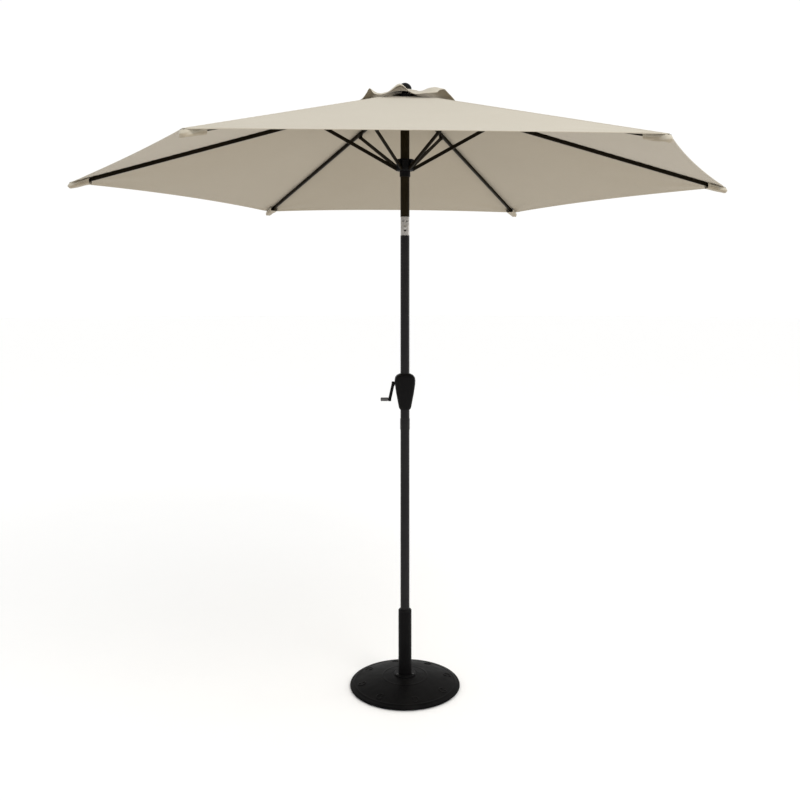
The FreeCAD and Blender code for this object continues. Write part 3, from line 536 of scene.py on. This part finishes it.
def metalMaterial(name, facts):
    material, tree, shader = newMaterial(name)
    place = addNode(tree, "TexCoord").outputs["Object"]
    shared = metalShared
    tones = useGroup(tree, "mottle", {
        "Place": place, "Main Tone": opaque(facts["main"]), "Second Tone": opaque(facts["second"]),
        "Scale": shared["mottleScale"], "Amount": shared["mottleAmount"]})
    stretch = tuple(float(x) for x in facts["lines"])
    lines = useGroup(tree, "drawLines", {"Place": place, "Stretch": stretch})["Lines"]
    rub = useGroup(tree, "edgeRub", {
        "Place": place, "Width": facts["rubWidth"], "Break Up": shared["breakUp"]})["Rub"]
    streaks = remap(tree, lines, 0.42, 0.62, 0.0, shared["streak"])
    streaked = blendColour(tree, streaks, tones["Tone"], opaque(facts["second"]))
    tree.links.new(blendColour(tree, rub, streaked, opaque(facts["rub"])), shader.inputs["Base Color"])
    low, high = facts["rough"]
    tree.links.new(remap(tree, lines, 0.35, 0.65, low, high), shader.inputs["Roughness"])
    shader.inputs["Metallic"].default_value = 1.0
    bumpInto(tree, shader, lines, shared["bump"], facts["deep"])
    return material


clothLook = {
    "warm": (0.446, 0.408, 0.331),
    "second": (0.414, 0.378, 0.301),
    "gap": (0.32, 0.285, 0.22),
    "thread": (0.56, 0.52, 0.43),
    "threadsPerMetre": 1250.0,
    "weaveDeep": 0.00022,
    "rough": (0.74, 0.9),
    "sheen": 0.18,
    "sheenRough": 0.5,
    "gloss": 0.3,
    "mottleScale": 3.2,
    "mottleAmount": 0.45,
    "slub": 0.4,
    "hemRow": 0.0135,
    "seamRow": 0.0042,
    "gapShadeShare": 0.22,
    "slubShare": 0.16,
    "hemShare": 0.10,
    "threadShare": 0.8,
    "weaveHeight": 0.35,
    "threadHeight": 1.2,
    "bump": 0.6,
    "inside": (0.75, 0.70, 0.64),  # painted shade: how much of each colour the downward-facing underside keeps
}


def clothMaterial():
    look = clothLook
    material, tree, shader = newMaterial("canopyPolyester")
    place = addNode(tree, "TexCoord").outputs["Object"]
    uv = addNode(tree, "UVMap", uv_map="clothPlace").outputs["UV"]
    seam = addNode(tree, "Attribute", attribute_name="seamDistance").outputs["Fac"]
    hem = addNode(tree, "Attribute", attribute_name="hemDistance").outputs["Fac"]
    along = addNode(tree, "SeparateXYZ", {0: uv}).outputs
    thread = opaque(look["thread"])
    tones = useGroup(tree, "mottle", {
        "Place": place, "Main Tone": opaque(look["warm"]), "Second Tone": opaque(look["second"]),
        "Scale": look["mottleScale"], "Amount": look["mottleAmount"]})
    weave = useGroup(tree, "weave", {
        "Cloth Place": uv, "Threads": look["threadsPerMetre"], "Slub": look["slub"]})
    hemRow = useGroup(tree, "stitchRow", {
        "Edge Distance": hem, "Along": along["X"], "Row At": look["hemRow"]})["Thread"]
    seamRow = useGroup(tree, "stitchRow", {
        "Edge Distance": seam, "Along": along["Y"], "Row At": look["seamRow"]})["Thread"]
    threads = mathNode(tree, "MAXIMUM", hemRow, seamRow)
    # painted shade: the gaps between threads are darkened towards the gap colour
    gapShade = mathNode(tree, "MULTIPLY", weave["GapShade"], look["gapShadeShare"])
    shaded = blendColour(tree, gapShade, tones["Tone"], opaque(look["gap"]))
    slubs = remap(tree, weave["Slubs"], 0.55, 0.75, 0.0, look["slubShare"])
    slubbed = blendColour(tree, slubs, shaded, thread)
    turned = remap(tree, hem, 0.0136, 0.0142, look["hemShare"], 0.0)
    layered = blendColour(tree, turned, slubbed, thread)
    sewn = blendColour(tree, mathNode(tree, "MULTIPLY", threads, look["threadShare"]), layered, thread)
    normal = addNode(tree, "NewGeometry").outputs["Normal"]
    facing = addNode(tree, "SeparateXYZ", {0: normal}).outputs["Z"]
    # painted shade: the cloth's colour is darkened wherever it faces down
    under = remap(tree, facing, -0.1, 0.1, 1.0, 0.0)
    undersideShadeKept = blendColour(tree, under, (1, 1, 1, 1), opaque(look["inside"]))
    clothWithUnderShade = addNode(tree, "VectorMath", {0: sewn, 1: undersideShadeKept}, operation="MULTIPLY").outputs["Vector"]
    tree.links.new(clothWithUnderShade, shader.inputs["Base Color"])
    low, high = look["rough"]
    tree.links.new(remap(tree, weave["Slubs"], 0.3, 0.7, low, high), shader.inputs["Roughness"])
    shader.inputs["Sheen Weight"].default_value = look["sheen"]
    shader.inputs["Sheen Roughness"].default_value = look["sheenRough"]
    shader.inputs["Specular IOR Level"].default_value = look["gloss"]
    woven = mathNode(tree, "MULTIPLY", weave["Height"], look["weaveHeight"])
    height = mathNode(tree, "MULTIPLY_ADD", threads, look["threadHeight"], woven)
    bumpInto(tree, shader, height, look["bump"], look["weaveDeep"])
    return material


def floorMaterial():
    material, tree, shader = newMaterial("paleFloor")
    place = addNode(tree, "TexCoord").outputs["Object"]
    base = studio["floorColour"]
    patch = opaque(tuple(channel * studio["floorPatch"] for channel in base[:3]))
    tones = useGroup(tree, "mottle", {
        "Place": place, "Main Tone": base, "Second Tone": patch, "Scale": 2.0, "Amount": 0.5})
    tree.links.new(tones["Tone"], shader.inputs["Base Color"])
    shader.inputs["Roughness"].default_value = studio["floorRough"]
    return material


finishes = {name: coatMaterial(name, facts) for name, facts in coatFinishes.items()}
finishes.update({name: metalMaterial(name, facts) for name, facts in metalFinishes.items()})
finishes["canopy_cloth"] = clothMaterial()
makeFloor(floorMaterial())

for part in frame["record"]["subparts"]:
    paint(frame["nodes"][part["node"]], finishes[part["material_slot"]])
print("stage: finishes given to the CAD nodes")


# Cloth sheets

def clothShell(name, upper, lower, uvRows, seamRows, hemRows):
    # two grids of points, one above the other, closed round their border
    rows, columns = len(upper), len(upper[0])
    points = [p for row in upper for p in row] + [p for row in lower for p in row]
    half = rows * columns
    faces = []
    for r in range(rows - 1):
        for c in range(columns - 1):
            a, b = r * columns + c, r * columns + c + 1
            d, e = a + columns, b + columns
            faces.append((a, d, e, b))
            faces.append((half + a, half + b, half + e, half + d))
    border = [(0, c) for c in range(columns)] + [(r, columns - 1) for r in range(1, rows)]
    border += [(rows - 1, c) for c in range(columns - 2, -1, -1)] + [(r, 0) for r in range(rows - 2, 0, -1)]
    for (r0, c0), (r1, c1) in zip(border, border[1:] + border[:1]):
        a, b = r0 * columns + c0, r1 * columns + c1
        faces.append((a, b, half + b, half + a))
    mesh = bpy.data.meshes.new(name)
    mesh.from_pydata([tuple(p) for p in points], [], faces)
    piece = bpy.data.objects.new(name, mesh)
    bpy.context.scene.collection.objects.link(piece)
    marks = {"seamDistance": seamRows, "hemDistance": hemRows}
    for label, values in marks.items():
        flat = [x for row in values for x in row]
        attribute = mesh.attributes.new(label, "FLOAT", "POINT")
        attribute.data.foreach_set("value", flat + flat)
    flatUv = [x for row in uvRows for x in row] * 2
    layer = mesh.uv_layers.new(name="clothPlace")
    for loop in mesh.loops:
        layer.data[loop.index].uv = flatUv[loop.vertex_index]
    faceOutward(piece)
    smoothPiece(piece, canopy["smoothAngle"])
    paint(piece, finishes["canopy_cloth"])
    return piece


ribCount = 6
halfAngle = math.pi / ribCount
goreLow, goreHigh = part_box("canopy_gore_1")

canopy = {
    "cloth": 0.0009,
    "hemFold": 0.014,  # width of the turned hem
    "hemExtra": 0.0008,
    "seamHalf": 0.0055,  # half the flat seam over a rib
    "seamExtra": 0.0008,
    "scallop": 0.025,  # how far the hem's middle pulls in
    "sag": 0.010,
    "wave": 0.0016,
    "puckerDeep": 0.0009,
    "puckerLong": 0.034,
    "tipFold": 0.0030,
    "foldKeep": 0.095,
    "seamStep": 0.0006,  # the sharp step at the seam's edge
    "foldWaves": 15.0,
    "foldReach": 0.16,
    "puckerAt": 0.016,
    "hemGroove": 0.00025,
    "plainRows": 96,
    "plainColumns": 26,
    "smoothAngle": 42,
}
canopy["inner"] = goreLow.x / math.cos(halfAngle) ** 2
canopy["reach"] = goreHigh.x
canopy["cadCloth"] = 0.0012
canopy["rise"] = (goreHigh.z - canopy["cadCloth"] - goreLow.z) / (canopy["reach"] - canopy["inner"])


def ridgeHeight(radius):
    return goreLow.z + (canopy["reach"] - radius) * canopy["rise"]


def spread(count):
    return [index / count for index in range(count + 1)]


def turnedPoint(radial, tangent, height, angle):
    # a point given along and across one rib's direction
    x = radial * math.cos(angle) - tangent * math.sin(angle)
    y = radial * math.sin(angle) + tangent * math.cos(angle)
    return Vector((x, y, height))


def seamMarks():
    # metres from the rib line to the seam's own edges
    return [0.0030, canopy["seamHalf"], canopy["seamHalf"] + canopy["seamStep"]]


def gorePoint(along, away, side, angle):
    # along: share of the way to the hem, away: metres from the rib line or a share past the seam
    inner = canopy["inner"] * math.cos(halfAngle)
    outer = canopy["reach"] * math.cos(halfAngle)
    flat = inner + along * (outer - inner)
    halfWidth = flat * math.tan(halfAngle)
    kind, amount = away
    if kind == "seam":
        offset = amount / math.cos(halfAngle)
    else:
        start = (canopy["seamHalf"] + canopy["seamStep"]) / math.cos(halfAngle)
        offset = start + amount * (halfWidth - start)
    toMiddle = offset / halfWidth
    hemPull = canopy["scallop"] * (1 - (1 - toMiddle) ** 2)
    flat = inner + along * (outer - hemPull - inner)
    sideways = -flat * math.tan(halfAngle) * (1 - toMiddle)
    fromRib = offset * math.cos(halfAngle)
    radial = flat * math.cos(halfAngle) - sideways * math.sin(halfAngle)
    tangent = side * (flat * math.sin(halfAngle) + sideways * math.cos(halfAngle))
    height = ridgeHeight(flat / math.cos(halfAngle))
    # the shape that the taut cloth takes
    bowl = 2 * toMiddle - toMiddle ** 2
    height -= canopy["sag"] * bowl * 4 * along * (1 - along) * (0.6 + 0.4 * along)
    tipAway = math.hypot(canopy["reach"] - radial, tangent)
    tipTurn = math.atan2(abs(tangent), max(1e-6, canopy["reach"] - radial))
    fold = math.sin(tipTurn * canopy["foldWaves"] + angle)
    fold *= smoothStep(tipTurn, 0.04, 0.25) * smoothStep(1 - toMiddle, 0.0, 0.5)
    fading = math.exp(-tipAway / canopy["foldReach"]) * smoothStep(tipAway, 0.01, 0.06)
    height += canopy["tipFold"] * fold * fading
    pucker = math.sin(flat / canopy["puckerLong"] * 2 * math.pi + 1.7 * side + angle)
    nearSeam = bump(fromRib, canopy["puckerAt"], canopy["puckerAt"])
    height += canopy["puckerDeep"] * pucker * nearSeam * smoothStep(along, 0.02, 0.1)
    world = turnedPoint(radial, tangent, height, angle)
    slow = noise.noise(Vector((world.x * 2.1, world.y * 2.1, 0.3)))
    world.z += canopy["wave"] * slow * smoothStep(1 - along, 0.0, 0.1) * smoothStep(toMiddle, 0.0, 0.2)
    hemAway = (1 - along) * (outer - hemPull - inner)
    return world, fromRib, hemAway, (sideways * side, flat)


def hemRows():
    # share of the way from the vent to the hem: even rows, then the turned hem's own rows
    outer = (canopy["reach"] - canopy["inner"]) * math.cos(halfAngle)
    hemShare = canopy["hemFold"] / outer
    plain = [(1 - hemShare * 1.08) * step for step in spread(canopy["plainRows"])]
    return plain + [1 - hemShare, 1 - hemShare * 0.9, 1 - hemShare * 0.45, 1 - hemShare * 0.08, 1.0]


def goreColumns():
    half = [("seam", mark) for mark in seamMarks()]
    half += [("open", step) for step in spread(canopy["plainColumns"])[1:]]
    left = [(-1, away) for away in reversed(half)]
    return left + [(1, ("seam", 0.0))] + [(1, away) for away in half]


def buildGore(index):
    angle = index * 2 * halfAngle
    upper, lower, uvRows, seamRows, hemRowsOut = [], [], [], [], []
    columns = goreColumns()
    for along in hemRows():
        top, under, uvs, seams, hems = [], [], [], [], []
        for side, away in columns:
            world, fromRib, hemAway, uv = gorePoint(along, away, side, angle)
            onSeam = smoothStep(canopy["seamHalf"] + canopy["seamStep"] - fromRib, 0.0, canopy["seamStep"])
            onHem = smoothStep(canopy["hemFold"] - hemAway, 0.0, 0.0014)
            groove = bump(hemAway, clothLook["hemRow"], 0.0012) * canopy["hemGroove"]
            top.append(world + Vector((0, 0, onSeam * canopy["seamExtra"] - groove)))
            under.append(world - Vector((0, 0, canopy["cloth"] + onHem * canopy["hemExtra"])))
            uvs.append(uv)
            seams.append(fromRib)
            hems.append(hemAway)
        upper.append(top)
        lower.append(under)
        uvRows.append(uvs)
        seamRows.append(seams)
        hemRowsOut.append(hems)
    return clothShell(f"canopyPanel_{index + 1}", upper, lower, uvRows, seamRows, hemRowsOut)


pocket = {
    "length": 0.091,
    "mouthHalf": 0.021,
    "endHalf": 0.0125,
    "drop": 0.0275,
    "endDrop": 0.0240,
    "past": 0.011,
    "endNarrows": 0.82,  # shares lost by the pointed end
    "endThins": 0.78,
    "underCloth": 0.0002,
    "sideRound": 0.62,  # powers that square off the section
    "topRound": 0.75,
    "crease": 0.0009,
    "creaseWaves": (5, 9),
    "roofSlope": 0.577,  # the panels' fall to each side of a rib, against their slope along it
    "ringPower": 0.7,
    "tipStart": 0.001,
    "hemStart": 0.0095,
    "seamFar": 0.05,  # no seam row on a pocket
    "clothStep": 0.0026,
    "smoothAngle": 50,
    "droop": 0.009,  # how far the pointed end beyond the rib hangs
    "cloth": 0.0010,
    "around": 28,
    "rings": 13,
}


def buildPocket(index):
    # the sewn pocket under a corner that the rib's tip pushes into, open towards the pole
    angle = index * 2 * halfAngle
    points, faces = [], []
    around, rings = pocket["around"], pocket["rings"]
    waves, drift = pocket["creaseWaves"]
    for ring in range(rings + 1):
        share = (ring / rings) ** pocket["ringPower"]
        radial = canopy["reach"] + pocket["past"] - pocket["length"] * (1 - share)
        beyond = smoothStep(radial, canopy["reach"] + pocket["tipStart"], canopy["reach"] + pocket["past"])
        halfWide = pocket["mouthHalf"] + (pocket["endHalf"] - pocket["mouthHalf"]) * share
        halfWide *= 1 - pocket["endNarrows"] * beyond
        drop = pocket["drop"] + (pocket["endDrop"] - pocket["drop"]) * share
        drop *= 1 - pocket["endThins"] * beyond
        top = ridgeHeight(radial) - canopy["cloth"] - pocket["underCloth"] - pocket["droop"] * beyond
        for step in range(around):
            turn = 2 * math.pi * step / around
            wide = math.copysign(abs(math.cos(turn)) ** pocket["sideRound"], math.cos(turn))
            tall = math.copysign(abs(math.sin(turn)) ** pocket["topRound"], math.sin(turn))
            waviness = math.sin(waves * turn + drift * share + index)
            crease = pocket["crease"] * waviness * share * (1 - share) * 4
            roof = abs(halfWide * wide) * canopy["rise"] * pocket["roofSlope"]
            tangent = halfWide * wide + crease
            height = top - drop / 2 + tall * drop / 2 - roof + crease
            points.append(tuple(turnedPoint(radial, tangent, height, angle)))
    for ring in range(rings):
        for step in range(around):
            after = (step + 1) % around
            a, b = ring * around + step, ring * around + after
            faces.append((a, b, b + around, a + around))
    faces.append(tuple(rings * around + step for step in range(around)))
    name = f"tipPocket_{index + 1}"
    mesh = bpy.data.meshes.new(name)
    mesh.from_pydata(points, [], faces)
    piece = bpy.data.objects.new(name, mesh)
    bpy.context.scene.collection.objects.link(piece)
    layer = mesh.uv_layers.new(name="clothPlace")
    for loop in mesh.loops:
        ring, step = divmod(loop.vertex_index, around)
        layer.data[loop.index].uv = (step * pocket["clothStep"], ring * pocket["length"] / rings)
    hem = mesh.attributes.new("hemDistance", "FLOAT", "POINT")
    hemDistances = [pocket["hemStart"] + ring * pocket["length"] / rings for ring in range(rings + 1)]
    hem.data.foreach_set("value", [distance for distance in hemDistances for _ in range(around)])
    seam = mesh.attributes.new("seamDistance", "FLOAT", "POINT")
    seam.data.foreach_set("value", [pocket["seamFar"]] * len(points))
    faceOutward(piece)
    wall = piece.modifiers.new("wall", "SOLIDIFY")
    wall.thickness = pocket["cloth"]
    wall.offset = -1
    applyModifiers(piece)
    smoothPiece(piece, pocket["smoothAngle"])
    paint(piece, finishes["canopy_cloth"])
    return piece


for index in range(ribCount):
    number = index + 1
    gore = buildGore(index)
    tip = buildPocket(index)
    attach(gore, f"rib_{number}")
    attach(tip, f"rib_{number}")
    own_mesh(gore)
    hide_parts(f"canopy_gore_{number}")
print("stage: canopy panels and tip pockets made")


# Vent cap

ventLow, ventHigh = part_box("vent_cap")

vent = {
    "cloth": 0.0009,
    "hemFold": 0.010,
    "hemExtra": 0.0007,
    "skirtInner": 0.058,
    "patchReach": 0.088,
    "patchLift": 0.0016,
    "patchHole": 0.012,
    "coneShare": 0.25,  # how far the six flats are rounded into a cone
    "seamHalf": 0.0062,
    "seamExtra": 0.0007,
    "ripples": [(11, 1.1, 0.0022), (19, 0.4, 0.0012)],  # waves round the hem, their start and height
    "scallop": 0.012,
    "foldKeep": 0.45,
    # turn in degrees, fall-off before and after it in degrees, lift at the hem, reach change
    "flaps": [(-143, 11, 10, 0.014, -0.004), (-98, 12, 7, 0.009, -0.004), (-70, 12, 9, -0.003, 0.004),
              (-50, 11, 14, 0.008, 0.0), (-18, 17, 20, 0.012, 0.0), (40, 18, 18, 0.004, 0.003),
              (78, 18, 18, 0.014, -0.002), (125, 20, 20, 0.010, 0.0), (170, 12, 12, 0.003, 0.002)],
    # the wind's swell inside the hem: turn, width in degrees, lift, middle as a share of the reach, width
    "swells": [(-144, 10, 0.034, 0.88, 0.16), (-101, 11, 0.033, 0.74, 0.20), (-40, 27, 0.034, 0.80, 0.21),
               (100, 30, 0.006, 0.70, 0.25)],
}
vent["reach"] = ventHigh.x
vent["apex"] = ventHigh.z - canopy["cadCloth"]
vent["rise"] = (vent["apex"] - ventLow.z) / vent["reach"]


def fromSeam(turn):
    # the angle between a direction and the nearest of the six seams
    return abs(angleGap(turn, round(turn / (2 * halfAngle)) * 2 * halfAngle))


def flapShare(turn, facts):
    away = math.degrees(angleGap(turn, math.radians(facts[0])))
    return bump(away, 0.0, facts[1] if away < 0 else facts[2])


def ventHem(turn):
    near = fromSeam(turn)
    straight = vent["reach"] * math.cos(halfAngle) / math.cos(halfAngle - near)
    reach = straight - vent["scallop"] * (near / halfAngle)
    for facts in vent["flaps"]:
        reach += facts[4] * flapShare(turn, facts)
    return reach


def ventPoint(radius, turn):
    near = fromSeam(turn)
    across = radius * math.cos(halfAngle - near) / math.cos(halfAngle)
    softened = across * (1 - vent["coneShare"]) + radius * vent["coneShare"]
    height = vent["apex"] - vent["rise"] * softened
    outward = radius / vent["reach"]
    for facts in vent["flaps"]:
        height += facts[3] * flapShare(turn, facts) * smoothStep(outward, 0.45, 1.05)
    for degrees, width, lift, middle, wide in vent["swells"]:
        away = math.degrees(angleGap(turn, math.radians(degrees)))
        height += lift * bump(away, 0.0, width) * bump(outward, middle, wide)
    ripple = sum(math.sin(turn * waves + start) * size for waves, start, size in vent["ripples"])
    height += ripple * smoothStep(outward, 0.5, 1.0)
    return Vector((radius * math.cos(turn), radius * math.sin(turn), height))


def ventGrid(name, turns, radii, lift):
    # radii(turn) gives the row distances for one direction
    upper, lower, uvRows, seamRows, hemRowsOut = [], [], [], [], []
    rows = len(radii(0.0))
    for row in range(rows):
        top, under, uvs, seams, hems = [], [], [], [], []
        for turn in turns:
            distances = radii(turn)
            radius = distances[row]
            point = ventPoint(radius, turn) + Vector((0, 0, lift))
            hemAway = distances[-1] - radius
            seamAway = radius * math.sin(fromSeam(turn))
            onHem = smoothStep(vent["hemFold"] - hemAway, 0.0, 0.0012)
            onSeam = smoothStep(vent["seamHalf"] - seamAway, 0.0, 0.0012)
            top.append(point + Vector((0, 0, onSeam * vent["seamExtra"])))
            under.append(point - Vector((0, 0, vent["cloth"] + onHem * vent["hemExtra"])))
            uvs.append((radius * angleGap(turn, 0.0), radius))
            seams.append(seamAway)
            hems.append(hemAway + 0.004)
        upper.append(top)
        lower.append(under)
        uvRows.append(uvs)
        seamRows.append(seams)
        hemRowsOut.append(hems)
    return clothShell(name, upper, lower, uvRows, seamRows, hemRowsOut)


def skirtRadii(turn):
    outer = ventHem(turn)
    hemStart = outer - vent["hemFold"] * 1.12
    inner = vent["skirtInner"]
    plain = [inner + (hemStart - inner) * step for step in spread(30)]
    fold = vent["hemFold"]
    return plain + [outer - fold, outer - fold * 0.5, outer - fold * 0.08, outer]


def patchRadii(turn):
    inner = vent["patchHole"]
    outer = vent["patchReach"]
    return [inner + (outer - inner) * step for step in spread(16)]


def buildVentSkirt(index):
    middle = index * 2 * halfAngle
    turns = [middle - halfAngle + 2 * halfAngle * step for step in spread(40)]
    return ventGrid(f"ventFlap_{index + 1}", turns, skirtRadii, 0.0)


for index in range(ribCount):
    number = index + 1
    skirt = buildVentSkirt(index)
    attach(skirt, f"rib_{number}")
    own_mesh(skirt)


def buildVentPatch():
    # a round patch under the finial: one ring of cloth, its two edge columns joined
    turns = [2 * math.pi * step for step in spread(96)]
    patch = ventGrid("ventPatch", turns, patchRadii, vent["patchLift"])
    pickOnly(patch)
    bpy.ops.object.mode_set(mode="EDIT")
    bpy.ops.mesh.select_all(action="SELECT")
    bpy.ops.mesh.remove_doubles(threshold=1e-5)
    bpy.ops.mesh.delete_loose()
    bpy.ops.object.mode_set(mode="OBJECT")
    return patch


ventPatch = buildVentPatch()
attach(ventPatch, "mast")
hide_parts("vent_cap")
print("stage: vent cap made")


# Cast base

baseLow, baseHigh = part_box("base_weight")

castBase = {
    "steps": 576,
    "arcSteps": 104,
    "roundSteps": 7,
    "hubFlat": 0.6,  # share of the hub's radius
    "hubEase": 0.003,
    "hubGroove": 0.0006,
    "grooveWide": 0.002,
    "footRound": (0.002, 0.0006),
    "underStep": 0.150,
    "edgeHeight": 0.013,
    "edgeRound": 0.006,
    "hubRadius": 0.052,
    "crown": 1.24,
    "scrollCount": 8,
    "scrollAt": 0.183,
    "scrollFirst": 9.0,
    "scrollSize": 0.0145,
    "scrollHalf": 0.0036,
    "scrollRaise": 0.0021,
    "beadAt": 0.2105,
    "beadRaise": 0.0013,
    "innerBeadAt": 0.092,
    "innerBeadShare": 0.7,
    "beadWide": (0.0032, 0.0035),
    "scrollOpen": math.radians(48),  # half the gap in each scroll
    "curlAt": 0.66,
    "castSkin": 0.0004,
    "castScale": 34,
}


def baseTopHeight(radius):
    # one arc from the hub's shoulder to the rim, as a parabola through three points
    hub = castBase["hubRadius"]
    rim = baseHigh.x - castBase["edgeRound"]
    share = (radius - hub) / (rim - hub)
    top, low = baseHigh.z, castBase["edgeHeight"]
    middle = low + (top - low) / 2 * castBase["crown"]
    bend = 2 * middle - (top + low) / 2
    return top * (1 - share) ** 2 + low * share ** 2 + 2 * share * (1 - share) * bend


def baseOutline():
    hub = castBase["hubRadius"]
    rim = baseHigh.x - castBase["edgeRound"]
    roundness = castBase["edgeRound"]
    points = [(0.0, baseHigh.z), (hub * castBase["hubFlat"], baseHigh.z)]
    points.append((hub - castBase["hubEase"], baseHigh.z - 0.0001))
    for step in spread(castBase["arcSteps"]):
        radius = hub + (rim - hub) * step
        groove = castBase["hubGroove"] * bump(radius, hub, castBase["grooveWide"])
        points.append((radius, baseTopHeight(radius) - groove))
    for step in spread(castBase["roundSteps"])[1:]:
        turn = step * math.pi / 2
        height = castBase["edgeHeight"] - roundness * (1 - math.cos(turn))
        points.append((rim + roundness * math.sin(turn), height))
    under = baseLow.z
    wide, small = castBase["footRound"]
    points += [(baseHigh.x, under + wide), (baseHigh.x - small, under + small), (baseHigh.x - wide, under)]
    points += [(castBase["underStep"], under), (0.0, under)]
    return points


def spunPiece(name, outline, steps):
    deselectAll()
    first = outline[0]
    bpy.ops.mesh.primitive_plane_add(size=0.002, location=(first[0], 0, first[1]))
    piece = bpy.context.object
    piece.name = name
    bpy.ops.object.mode_set(mode="EDIT")
    bpy.ops.mesh.select_all(action="SELECT")
    bpy.ops.mesh.merge(type="CENTER")
    for before, after in zip(outline, outline[1:]):
        move = (after[0] - before[0], 0, after[1] - before[1])
        bpy.ops.mesh.extrude_region_move(TRANSFORM_OT_translate={"value": move})
    bpy.ops.mesh.select_all(action="SELECT")
    bpy.ops.mesh.spin(steps=steps, angle=2 * math.pi, center=(0, 0, 0), axis=(0, 0, 1))
    bpy.ops.mesh.select_all(action="SELECT")
    bpy.ops.mesh.remove_doubles(threshold=1e-6)
    bpy.ops.mesh.normals_make_consistent(inside=False)
    bpy.ops.object.mode_set(mode="OBJECT")
    settle(piece)
    return piece


def scrollHeight(x, y):
    # a C with curled ends, one for each step round the base
    turn = math.degrees(math.atan2(y, x)) - castBase["scrollFirst"]
    pitch = 360 / castBase["scrollCount"]
    number = round(turn / pitch)
    middle = math.radians(castBase["scrollFirst"] + number * pitch)
    radial = x * math.cos(middle) + y * math.sin(middle) - castBase["scrollAt"]
    tangent = (-x * math.sin(middle) + y * math.cos(middle)) * (1 if number % 2 else -1)
    size = castBase["scrollSize"]
    half = castBase["scrollHalf"]
    around = math.atan2(radial, tangent)
    away = abs(math.hypot(radial, tangent) - size)
    if abs(around) < castBase["scrollOpen"]:
        away = 1.0
    for sign in (-1, 1):  # the curls at the two ends
        endX = tangent - size * castBase["curlAt"] * math.cos(castBase["scrollOpen"])
        endY = radial - sign * size * castBase["curlAt"] * math.sin(castBase["scrollOpen"]) * 1.15
        away = min(away, max(0.0, math.hypot(endX, endY) - half * 0.45))
    return castBase["scrollRaise"] * smoothStep(half - away, 0.0, half * 0.8)


def raiseRelief(piece):
    hub = castBase["hubRadius"]
    rim = baseHigh.x - castBase["edgeRound"]
    outerWide, innerWide = castBase["beadWide"]
    innerRaise = castBase["beadRaise"] * castBase["innerBeadShare"]
    scale = castBase["castScale"]
    for vertex in piece.data.vertices:
        x, y, z = vertex.co
        radius = math.hypot(x, y)
        if radius < hub + 0.004 or z < castBase["edgeHeight"] - 0.002 or radius > rim + 0.002:
            continue
        lift = scrollHeight(x, y) if abs(radius - castBase["scrollAt"]) < 0.024 else 0.0
        lift += castBase["beadRaise"] * bump(radius, castBase["beadAt"], outerWide)
        lift += innerRaise * bump(radius, castBase["innerBeadAt"], innerWide)
        lift += castBase["castSkin"] * noise.noise(Vector((x * scale, y * scale, z * scale)))
        vertex.co.z = z + lift


baseDisc = spunPiece("castBaseDisc", baseOutline(), castBase["steps"])
raiseRelief(baseDisc)
smoothPiece(baseDisc, 60)
paint(baseDisc, finishes["cast_base"])
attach(baseDisc, "base")
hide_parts("base_weight")
print("stage: cast base made")


crankPieces = {
    "armWide": 0.0125,
    "armDeep": 0.0120,
    "hubRadius": 0.0098,
    "eyeRadius": 0.0085,
    "gripRadius": 0.0076,
    "armRound": 0.0024,
    "gripRound": 0.0028,
}


def roundedEdges(piece, width, segments):
    soften = piece.modifiers.new("soften", "BEVEL")
    soften.width = width
    soften.segments = segments
    soften.limit_method = "ANGLE"
    applyModifiers(piece)


def crossRod(name, radius, start, end, height):
    deselectAll()
    bpy.ops.mesh.primitive_cylinder_add(vertices=48, radius=radius, depth=end - start,
                                        location=((start + end) / 2, 0, height), rotation=(0, math.pi / 2, 0))
    piece = bpy.context.object
    piece.name = name
    settle(piece)
    return piece


def buildCrankArm():
    # a hub on the shaft, a straight slanting arm and an eye for the grip
    low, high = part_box("crank_arm")
    shaftHeight = jointFacts["crank_turn"]["pos_m"][2]
    gripHeight = jointFacts["grip_spin"]["pos_m"][2]
    wide = crankPieces["armWide"]
    hub = crossRod("crankHandle", crankPieces["hubRadius"], high.x - wide, high.x, shaftHeight)
    eye = crossRod("crankEye", crankPieces["eyeRadius"], low.x, low.x + wide, gripHeight)
    top = Vector((high.x - wide / 2, 0, shaftHeight))
    bottom = Vector((low.x + wide / 2, 0, gripHeight))
    run = top - bottom
    deselectAll()
    bpy.ops.mesh.primitive_cube_add(size=1, location=(top + bottom) / 2,
                                    rotation=(0, math.atan2(run.x, run.z), 0),
                                    scale=(wide, crankPieces["armDeep"], run.length))
    bar = bpy.context.object
    settle(bar)
    for piece in (hub, eye, bar):
        roundedEdges(piece, crankPieces["armRound"], 3)
    deselectAll()
    for piece in (hub, eye, bar):
        piece.select_set(True)
    bpy.context.view_layer.objects.active = hub
    bpy.ops.object.join()
    return hub


def buildCrankGrip():
    # a plain turned grip with rounded ends
    low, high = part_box("crank_grip")
    grip = crossRod("turningGrip", crankPieces["gripRadius"], low.x, high.x,
                    jointFacts["grip_spin"]["pos_m"][2])
    roundedEdges(grip, crankPieces["gripRound"], 4)
    return grip


for builder, body, node, finish in ((buildCrankArm, "crank", "crank_arm", "housing_plastic"),
                                    (buildCrankGrip, "crank_grip", "crank_grip", "grey_grip")):
    piece = builder()
    smoothPiece(piece, 40)
    paint(piece, finishes[finish])
    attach(piece, body)
    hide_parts(node)
print("stage: crank handle and grip made")


print("stage: scene built")
